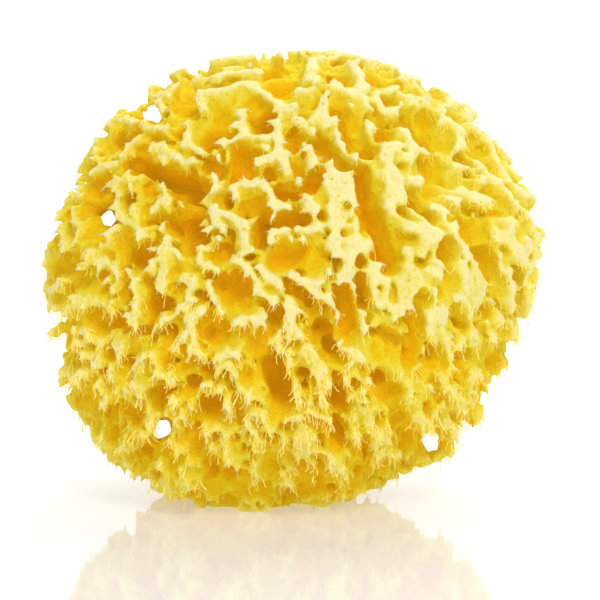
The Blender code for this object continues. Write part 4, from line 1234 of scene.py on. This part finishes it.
def spongin():
    material = bpy.data.materials.new("spongin")
    material.use_nodes = True
    tree = material.node_tree
    shader = tree.nodes["Principled BSDF"]
    place = add(tree, "ShaderNodeTexCoord").outputs["Object"]
    depth = add(tree, "ShaderNodeAttribute", attribute_name="depth").outputs["Fac"]
    crowd = add(tree, "ShaderNodeAttribute", attribute_name="crowding").outputs["Fac"]
    wide = add(tree, "ShaderNodeAttribute", attribute_name="wide_crowding").outputs["Fac"]
    shade_low_left = add(tree, "ShaderNodeAttribute", attribute_name="shade_low_left").outputs["Fac"]
    torn_here = add(tree, "ShaderNodeAttribute", attribute_name="torn").outputs["Fac"]
    turned_away = add(tree, "ShaderNodeAttribute", attribute_name="turned_away").outputs["Fac"]

    cloud = add(tree, "ShaderNodeTexNoise", Scale=60.0, Detail=3.0)
    speck = add(tree, "ShaderNodeTexNoise", Scale=700.0, Detail=5.0, Roughness=0.65)
    crust = add(tree, "ShaderNodeTexVoronoi", Scale=850.0)
    for texture in (cloud, speck, crust):
        tree.links.new(place, texture.inputs["Vector"])
    hanging = add(tree, "ShaderNodeMapping")
    hanging.inputs["Scale"].default_value = (1, 1, 0.22)
    tree.links.new(place, hanging.inputs["Vector"])
    streak = add(tree, "ShaderNodeTexNoise", Scale=1300.0, Detail=3.0, Roughness=0.6)
    tree.links.new(hanging.outputs[0], streak.inputs["Vector"])

    pore = add(tree, "ShaderNodeTexVoronoi", Scale=420.0)
    tree.links.new(place, pore.inputs["Vector"])
    pinhole = ramp(tree, pore.outputs["Distance"], [(0.10, (1, 1, 1)), (0.24, (0, 0, 0))])
    few = ramp(tree, cloud.outputs[0], [(0.42, (0, 0, 0)), (0.58, (1, 1, 1))])
    pinhole = math_node(tree, "MULTIPLY", pinhole, few)

    # Painted shade and glow: the run goes deeper orange the deeper a place lies under the skin, and
    # stays pale cream on the torn tips.
    depth_share = math_node(tree, "MULTIPLY", depth, 1 / FULL_DEPTH_MM)
    depth_share = math_node(tree, "MAXIMUM", depth_share, 0.0)
    # The share low down and on the left is painted shade; it also makes the streaks stronger there.
    streaked = math_node(tree, "ADD", math_node(tree, "MULTIPLY", shade_low_left, 0.45), 0.20)
    # Painted light and shade in the sum below: thin edges with little sponge round them come out paler,
    # places crowded close by or further off and faces turned away from straight outwards come out
    # deeper golden, and the pinholes darker. The cloud, specks, crust and streaks are the sponge's own
    # uneven tone.
    deep = total(tree, [
        math_node(tree, "MULTIPLY", pinhole, 0.45),
        math_node(tree, "POWER", depth_share, DEPTH_CURVE),
        weighted(tree, shade_low_left, -0.65, 0.12),
        math_node(tree, "MULTIPLY", weighted(tree, streak.outputs[0], 0.5, 1.0), streaked),
        weighted(tree, crowd, 0.37, 0.35),
        weighted(tree, turned_away, 0.20, 0.14),
        weighted(tree, wide, 0.50, 0.35),
        weighted(tree, cloud.outputs[0], 0.5, 0.30),
        weighted(tree, speck.outputs[0], 0.5, 0.15),
        weighted(tree, crust.outputs["Distance"], 0.35, -0.16)])
    calm = math_node(tree, "SUBTRACT", 1.0, torn_here)
    evenness = total(tree, [
        math_node(tree, "MULTIPLY", calm, 0.45),
        math_node(tree, "MULTIPLY", shade_low_left, 0.20)])
    deep = math_node(tree, "MULTIPLY", deep, math_node(tree, "SUBTRACT", 1.0, evenness))
    deep = math_node(tree, "ADD", deep, math_node(tree, "MULTIPLY", calm, 0.04))
    deep = math_node(tree, "ADD", deep, math_node(tree, "MULTIPLY", shade_low_left, 0.07))
    tree.links.new(ramp(tree, deep, GOLDEN_RUN), shader.inputs["Base Color"])
    rough = ramp(tree, speck.outputs[0], [(0.3, (0.62, 0.62, 0.62)), (0.7, (0.85, 0.85, 0.85))])
    tree.links.new(rough, shader.inputs["Roughness"])
    shader.inputs["Specular IOR Level"].default_value = 0.12
    shader.inputs["Subsurface Weight"].default_value = 0.75
    shader.inputs["Subsurface Radius"].default_value = (1.0, 0.80, 0.20)
    shader.inputs["Subsurface Scale"].default_value = LIGHT_SPREADS
    shader.inputs["Emission Color"].default_value = PAINTED_GLOW
    shader.inputs["Emission Strength"].default_value = PAINTED_GLOW_STRENGTH

    relief = total(tree, [
        math_node(tree, "MULTIPLY", speck.outputs[0], 1.3),
        math_node(tree, "MULTIPLY", crust.outputs["Distance"], -0.9),
        math_node(tree, "MULTIPLY", pinhole, -1.2),
        math_node(tree, "MULTIPLY", streak.outputs[0], 1.1)])
    bump = add(tree, "ShaderNodeBump", Strength=0.6, Distance=0.0007)
    tree.links.new(relief, bump.inputs["Height"])
    tree.links.new(bump.outputs[0], shader.inputs["Normal"])
    return material


body.data.materials.clear()
body.data.materials.append(spongin())
print("material:", body.data.materials[0].name)

# %% [markdown]
# ## Loose fibres
# Where the skin is torn, single fibres of spongin stick out and hang down. One
# node tree strews them over the body: it picks places where the stored numbers
# say the skin is torn, grows a thin three-sided hair at each, bends it with
# noise and lets it droop. Two uses of the tree make the short fuzz on every torn
# ridge and the longer hairs that hang from the lower half and fringe the right.

# %% Where fibres grow
FIBRES_DOWN_TO = 5.0
FUZZ_SHARE = (0.25, 0.75)
HAIR_SHARE = (0.5, 0.5)
HAIRS_BELOW = (8, 8)
HAIRS_RIGHT_OF = (42, 5)
HAIRS_RIGHT_SHARE = 0.8
NEAR_THE_FLOOR = (46, 3)
FEWER_NEAR_FLOOR = 0.75
BARE_RIM = 16 * MM
BARE_LEFT_OF = (-5, 8)
BARE_BELOW = (12, 5)
BARE_UNDERNEATH = (36, 4)
BARENESS = 0.85
FRINGE_RIGHT_OF = (46, 3)
FRINGE_SHARE = 0.35


def thin_sponge(crowd, most, fade):
    """1 where little sponge crowds round a place, 0 where it is solid."""
    return np.clip((most - crowd) / fade, 0, 1)


def hair_places(mesh, places, depth, crowd):
    away = places - CENTRE
    side, height = away @ ACROSS / MM, away @ UP / MM
    rough = torn(places)
    shallow = np.clip(1 - depth / FIBRES_DOWN_TO, 0, 1)
    store(mesh, "fuzzy", shallow * thin_sponge(crowd, 0.52, 0.25) * changed_by(FUZZ_SHARE, rough))
    low = np.maximum(rising(-height, *HAIRS_BELOW), HAIRS_RIGHT_SHARE * rising(side, *HAIRS_RIGHT_OF))
    low = low * (1 - FEWER_NEAR_FLOOR * rising(-height, *NEAR_THE_FLOOR))
    rim = np.exp(-((away @ FORWARD) / BARE_RIM) ** 2)
    bare = rising(-side, *BARE_LEFT_OF) * rising(-height, *BARE_BELOW)
    bare = np.maximum(bare, rising(-height, *BARE_UNDERNEATH))
    low = low * (1 - BARENESS * rim * bare)
    hairy = shallow * thin_sponge(crowd, 0.42, 0.2) * low * changed_by(HAIR_SHARE, rough)
    fringe = FRINGE_SHARE * shallow * thin_sponge(crowd, 0.52, 0.2) * rising(side, *FRINGE_RIGHT_OF)
    store(mesh, "hairy", np.maximum(hairy, fringe))
    return hairy, fringe


hairy, fringe = hair_places(body.data, where, depth_mm, corner_mix(crowding, cells_at))
print("points in the fringe alone:", int((fringe > hairy).sum()))

# %% The node tree for fibres
FIBRE_POINTS = 5
FIBRE_TAPER = 0.9
FIBRE_SIDES = 3
OUT_OF_THE_SKIN = 0.7
SPREAD = 0.75
LENGTH_SHARES = (0.35, 1.35)
WAVE_SCALE = 380.0
WAVE_MIDDLE = (0.5, 0.5, 0.55)
BEND_CURVE = 1.4
ABOVE_FLOOR = 0.0003


def fibre_tree():
    tree = bpy.data.node_groups.new("fibres", "GeometryNodeTree")
    face = tree.interface
    face.new_socket("Geometry", in_out="INPUT", socket_type="NodeSocketGeometry")
    for name, kind, value in (
            ("Density", "NodeSocketFloat", 1e6), ("Length", "NodeSocketFloat", 0.003),
            ("Thickness", "NodeSocketFloat", 0.0001), ("Droop", "NodeSocketFloat", 0.5),
            ("Curl", "NodeSocketFloat", 0.6), ("Seed", "NodeSocketInt", 1),
            ("Grows Where", "NodeSocketFloat", 1.0), ("Material", "NodeSocketMaterial", None)):
        socket = face.new_socket(name, in_out="INPUT", socket_type=kind)
        if value is not None:
            socket.default_value = value
    face.new_socket("Geometry", in_out="OUTPUT", socket_type="NodeSocketGeometry")
    link = tree.links.new
    given = tree.nodes.new("NodeGroupInput").outputs
    result = tree.nodes.new("NodeGroupOutput").inputs

    def node(kind, **settings):
        made = tree.nodes.new(kind)
        for name, value in settings.items():
            setattr(made, name, value)
        return made

    def vector_math(operation, first, second=None, scale=None):
        made = node("ShaderNodeVectorMath", operation=operation)
        for socket, value in ((made.inputs[0], first), (made.inputs[1], second)):
            if isinstance(value, tuple):
                socket.default_value = value
            elif value is not None:
                link(value, socket)
        if isinstance(scale, (int, float)):
            made.inputs["Scale"].default_value = scale
        elif scale is not None:
            link(scale, made.inputs["Scale"])
        return made.outputs[0]

    def number_math(operation, first, second):
        return math_node(tree, operation, first, second)

    line = node("GeometryNodeCurvePrimitiveLine")
    line.inputs["End"].default_value = (0, 0, 1)
    steps = node("GeometryNodeResampleCurve")
    steps.inputs["Count"].default_value = FIBRE_POINTS
    link(line.outputs[0], steps.inputs["Curve"])
    along = node("GeometryNodeSplineParameter").outputs["Factor"]
    taper = number_math("SUBTRACT", 1.0, number_math("MULTIPLY", along, FIBRE_TAPER))
    radius = node("GeometryNodeSetCurveRadius")
    link(steps.outputs[0], radius.inputs["Curve"])
    link(taper, radius.inputs["Radius"])
    remember = node("GeometryNodeStoreNamedAttribute", data_type="FLOAT", domain="POINT")
    remember.inputs["Name"].default_value = "along"
    link(radius.outputs[0], remember.inputs["Geometry"])
    link(along, remember.inputs["Value"])
    ring = node("GeometryNodeCurvePrimitiveCircle")
    ring.inputs["Resolution"].default_value = FIBRE_SIDES
    ring.inputs["Radius"].default_value = 1.0
    hair = node("GeometryNodeCurveToMesh")
    link(remember.outputs[0], hair.inputs["Curve"])
    link(ring.outputs[0], hair.inputs["Profile Curve"])
    hair.inputs["Fill Caps"].default_value = True

    strew = node("GeometryNodeDistributePointsOnFaces")
    link(given["Geometry"], strew.inputs["Mesh"])
    link(number_math("MULTIPLY", given["Density"], given["Grows Where"]), strew.inputs["Density"])
    link(given["Seed"], strew.inputs["Seed"])

    spread = node("FunctionNodeRandomValue", data_type="FLOAT_VECTOR")
    spread.inputs[0].default_value = (-1, -1, -1)
    spread.inputs[1].default_value = (1, 1, 0.6)
    link(given["Seed"], spread.inputs["Seed"])
    down = node("ShaderNodeCombineXYZ")
    link(number_math("MULTIPLY", given["Droop"], -1.0), down.inputs["Z"])
    outwards = vector_math("SCALE", strew.outputs["Normal"], scale=OUT_OF_THE_SKIN)
    heading = vector_math("ADD", outwards, down.outputs[0])
    heading = vector_math("ADD", heading, vector_math("SCALE", spread.outputs[0], scale=SPREAD))
    turn = node("FunctionNodeAlignRotationToVector", axis="Z")
    link(heading, turn.inputs["Vector"])

    size = node("FunctionNodeRandomValue", data_type="FLOAT")
    size.inputs[2].default_value = LENGTH_SHARES[0]
    size.inputs[3].default_value = LENGTH_SHARES[1]
    link(number_math("ADD", given["Seed"], 7), size.inputs["Seed"])
    stretch = node("ShaderNodeCombineXYZ")
    link(given["Thickness"], stretch.inputs["X"])
    link(given["Thickness"], stretch.inputs["Y"])
    link(number_math("MULTIPLY", given["Length"], size.outputs[1]), stretch.inputs["Z"])

    plant = node("GeometryNodeInstanceOnPoints")
    link(strew.outputs["Points"], plant.inputs["Points"])
    link(hair.outputs[0], plant.inputs["Instance"])
    link(turn.outputs[0], plant.inputs["Rotation"])
    link(stretch.outputs[0], plant.inputs["Scale"])
    real = node("GeometryNodeRealizeInstances")
    link(plant.outputs[0], real.inputs[0])

    grown = node("GeometryNodeInputNamedAttribute", data_type="FLOAT")
    grown.inputs["Name"].default_value = "along"
    wave = node("ShaderNodeTexNoise", noise_dimensions="3D")
    wave.inputs["Scale"].default_value = WAVE_SCALE
    wave.inputs["Detail"].default_value = 1.0
    link(node("GeometryNodeInputPosition").outputs[0], wave.inputs["Vector"])
    sway = vector_math("SUBTRACT", wave.outputs["Color"], WAVE_MIDDLE)
    reach = number_math("MULTIPLY", given["Curl"], given["Length"])
    reach = number_math("MULTIPLY", reach, number_math("POWER", grown.outputs[0], BEND_CURVE))
    bend = node("GeometryNodeSetPosition")
    link(real.outputs[0], bend.inputs["Geometry"])
    link(vector_math("SCALE", sway, scale=reach), bend.inputs["Offset"])
    apart = node("ShaderNodeSeparateXYZ")
    link(node("GeometryNodeInputPosition").outputs[0], apart.inputs[0])
    together = node("ShaderNodeCombineXYZ")
    link(apart.outputs["X"], together.inputs["X"])
    link(apart.outputs["Y"], together.inputs["Y"])
    link(number_math("MAXIMUM", apart.outputs["Z"], ABOVE_FLOOR), together.inputs["Z"])
    above = node("GeometryNodeSetPosition")
    link(bend.outputs[0], above.inputs["Geometry"])
    link(together.outputs[0], above.inputs["Position"])
    paint = node("GeometryNodeSetMaterial")
    link(above.outputs[0], paint.inputs["Geometry"])
    link(given["Material"], paint.inputs["Material"])
    link(paint.outputs[0], result[0])
    return tree


fibres = fibre_tree()
print("node tree with", len(fibres.nodes), "nodes")

# %% The fibres' material
PALE_RUN = [(0.35, (0.96, 0.85, 0.36)), (0.65, (0.93, 0.77, 0.13)), (0.95, (0.90, 0.66, 0.03))]
# Painted shade: a fibre is coloured deeper orange the deeper under the skin it grows.
DARKER_PER_MM = 0.10


def fibre_material():
    material = bpy.data.materials.new("fibre")
    material.use_nodes = True
    tree = material.node_tree
    shader = tree.nodes["Principled BSDF"]
    place = add(tree, "ShaderNodeTexCoord").outputs["Object"]
    cloud = add(tree, "ShaderNodeTexNoise", Scale=220.0, Detail=3.0)
    tree.links.new(place, cloud.inputs["Vector"])
    depth = add(tree, "ShaderNodeAttribute", attribute_name="depth").outputs["Fac"]
    deep = math_node(tree, "ADD", cloud.outputs[0], math_node(tree, "MULTIPLY", depth, DARKER_PER_MM))
    tree.links.new(ramp(tree, deep, PALE_RUN), shader.inputs["Base Color"])
    shader.inputs["Roughness"].default_value = 0.6
    shader.inputs["Specular IOR Level"].default_value = 0.1
    # A painted glow: the fibres give off a faint yellow light that lifts their shaded sides.
    shader.inputs["Emission Color"].default_value = (0.95, 0.76, 0.16, 1)
    shader.inputs["Emission Strength"].default_value = 0.25
    return material


pale = fibre_material()
print("material:", pale.name)

# %% Grow the fibres
FUZZ_COUNT = 7200
HAIR_COUNT = 4000


def grow(name, count, **values):
    piece = bpy.data.objects.new(name, body.data.copy())
    bpy.context.scene.collection.objects.link(piece)
    change = piece.modifiers.new("fibres", "NODES")
    change.node_group = fibres
    sockets = {s.name: s.identifier for s in fibres.interface.items_tree if s.in_out == "INPUT"}
    for key, value in values.items():
        change[sockets[key.replace("_", " ")]] = value
    where_socket = sockets["Grows Where"]
    change[where_socket + "_use_attribute"] = True
    change[where_socket + "_attribute_name"] = name
    change[sockets["Material"]] = pale
    change[sockets["Density"]] = count / faces_area(body.data, name)
    evaluated = piece.evaluated_get(bpy.context.evaluated_depsgraph_get())
    made = bpy.data.meshes.new_from_object(evaluated)
    piece.modifiers.clear()
    piece.data = made
    made.name = name
    made.shade_flat()
    print(name, "has", sum(len(p.vertices) - 2 for p in made.polygons), "triangles")
    return piece


def faces_area(mesh, name):
    """The mesh's area, each face weighed by how readily fibres grow on it."""
    areas = np.empty(len(mesh.polygons), np.float32)
    mesh.polygons.foreach_get("area", areas)
    corners = np.empty(len(mesh.loops), np.int32)
    mesh.loops.foreach_get("vertex_index", corners)
    values = np.empty(len(mesh.vertices), np.float32)
    mesh.attributes[name].data.foreach_get("value", values)
    return float((areas * values[corners].reshape(-1, 3).mean(1)).sum())


fuzz = grow("fuzzy", FUZZ_COUNT, Length=0.0010, Thickness=0.00006, Droop=0.9, Curl=2.2, Seed=3)
hairs = grow("hairy", HAIR_COUNT, Length=0.0022, Thickness=0.00008, Droop=1.7, Curl=2.6, Seed=8)
fuzz.name, hairs.name = "short_fibres", "long_fibres"

# %% [markdown]
# ## The floor and the light
# The photo is a bright studio shot on a glossy white surface. The main light
# comes from the front, from above and a little from the right, a broader one
# from above and behind, and a pale room that is brightest straight behind the
# sponge fills in from all round. The glossy floor mirrors the sponge.

# %% Floor
floor_mesh = bpy.data.meshes.new("floor")
floor_mesh.from_pydata([(-6, -3, 0), (6, -3, 0), (6, 20, 0), (-6, 20, 0)], [], [(0, 1, 2, 3)])
floor = bpy.data.objects.new("floor", floor_mesh)
bpy.context.scene.collection.objects.link(floor)
gloss = bpy.data.materials.new("white_gloss")
gloss.use_nodes = True
white = gloss.node_tree.nodes["Principled BSDF"]
white.inputs["Base Color"].default_value = (0.62, 0.62, 0.62, 1)
white.inputs["Roughness"].default_value = 0.05
white.inputs["IOR"].default_value = 1.45
white.inputs["Emission Color"].default_value = (1, 1, 1, 1)
white.inputs["Emission Strength"].default_value = 0.30
floor.data.materials.append(gloss)
print("floor laid")

# %% Lights
ROOM_RUN = [(0.0, (0.95,) * 3), (0.45, (0.58,) * 3), (0.8, (0.82,) * 3), (0.92, (0.92,) * 3),
            (1.0, (1.5,) * 3)]
ROOM_STRENGTH = 0.79


def sun(name, towards, strength, softness):
    light = bpy.data.objects.new(name, bpy.data.lights.new(name, "SUN"))
    light.data.energy = strength
    light.data.angle = math.radians(softness)
    light.rotation_euler = Vector(towards).to_track_quat("-Z", "Y").to_euler()
    bpy.context.scene.collection.objects.link(light)


sun("key", (-0.25, 0.85, -0.78), 1.05, 16)
sun("back", (-0.35, -0.8, -1.3), 1.1, 40)

room_world = bpy.data.worlds.new("studio")
room_world.use_nodes = True
sky = room_world.node_tree
towards = add(sky, "ShaderNodeSeparateXYZ")
sky.links.new(add(sky, "ShaderNodeTexCoord").outputs["Generated"], towards.inputs[0])
backness = math_node(sky, "ADD", math_node(sky, "MULTIPLY", towards.outputs["Y"], 0.5), 0.5)
sky.links.new(ramp(sky, backness, ROOM_RUN), sky.nodes["Background"].inputs["Color"])
sky.nodes["Background"].inputs["Strength"].default_value = ROOM_STRENGTH
bpy.context.scene.world = room_world
bpy.context.scene.view_settings.view_transform = "Standard"
print("lights set")

# %% [markdown]
# ## Join it to the part
# The body stands for the imported solid, and all three pieces ride on that solid's
# body.

# %% Ride and finish
for piece in (body, fuzz, hairs):
    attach(piece, "root")
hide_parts("sea_sponge")
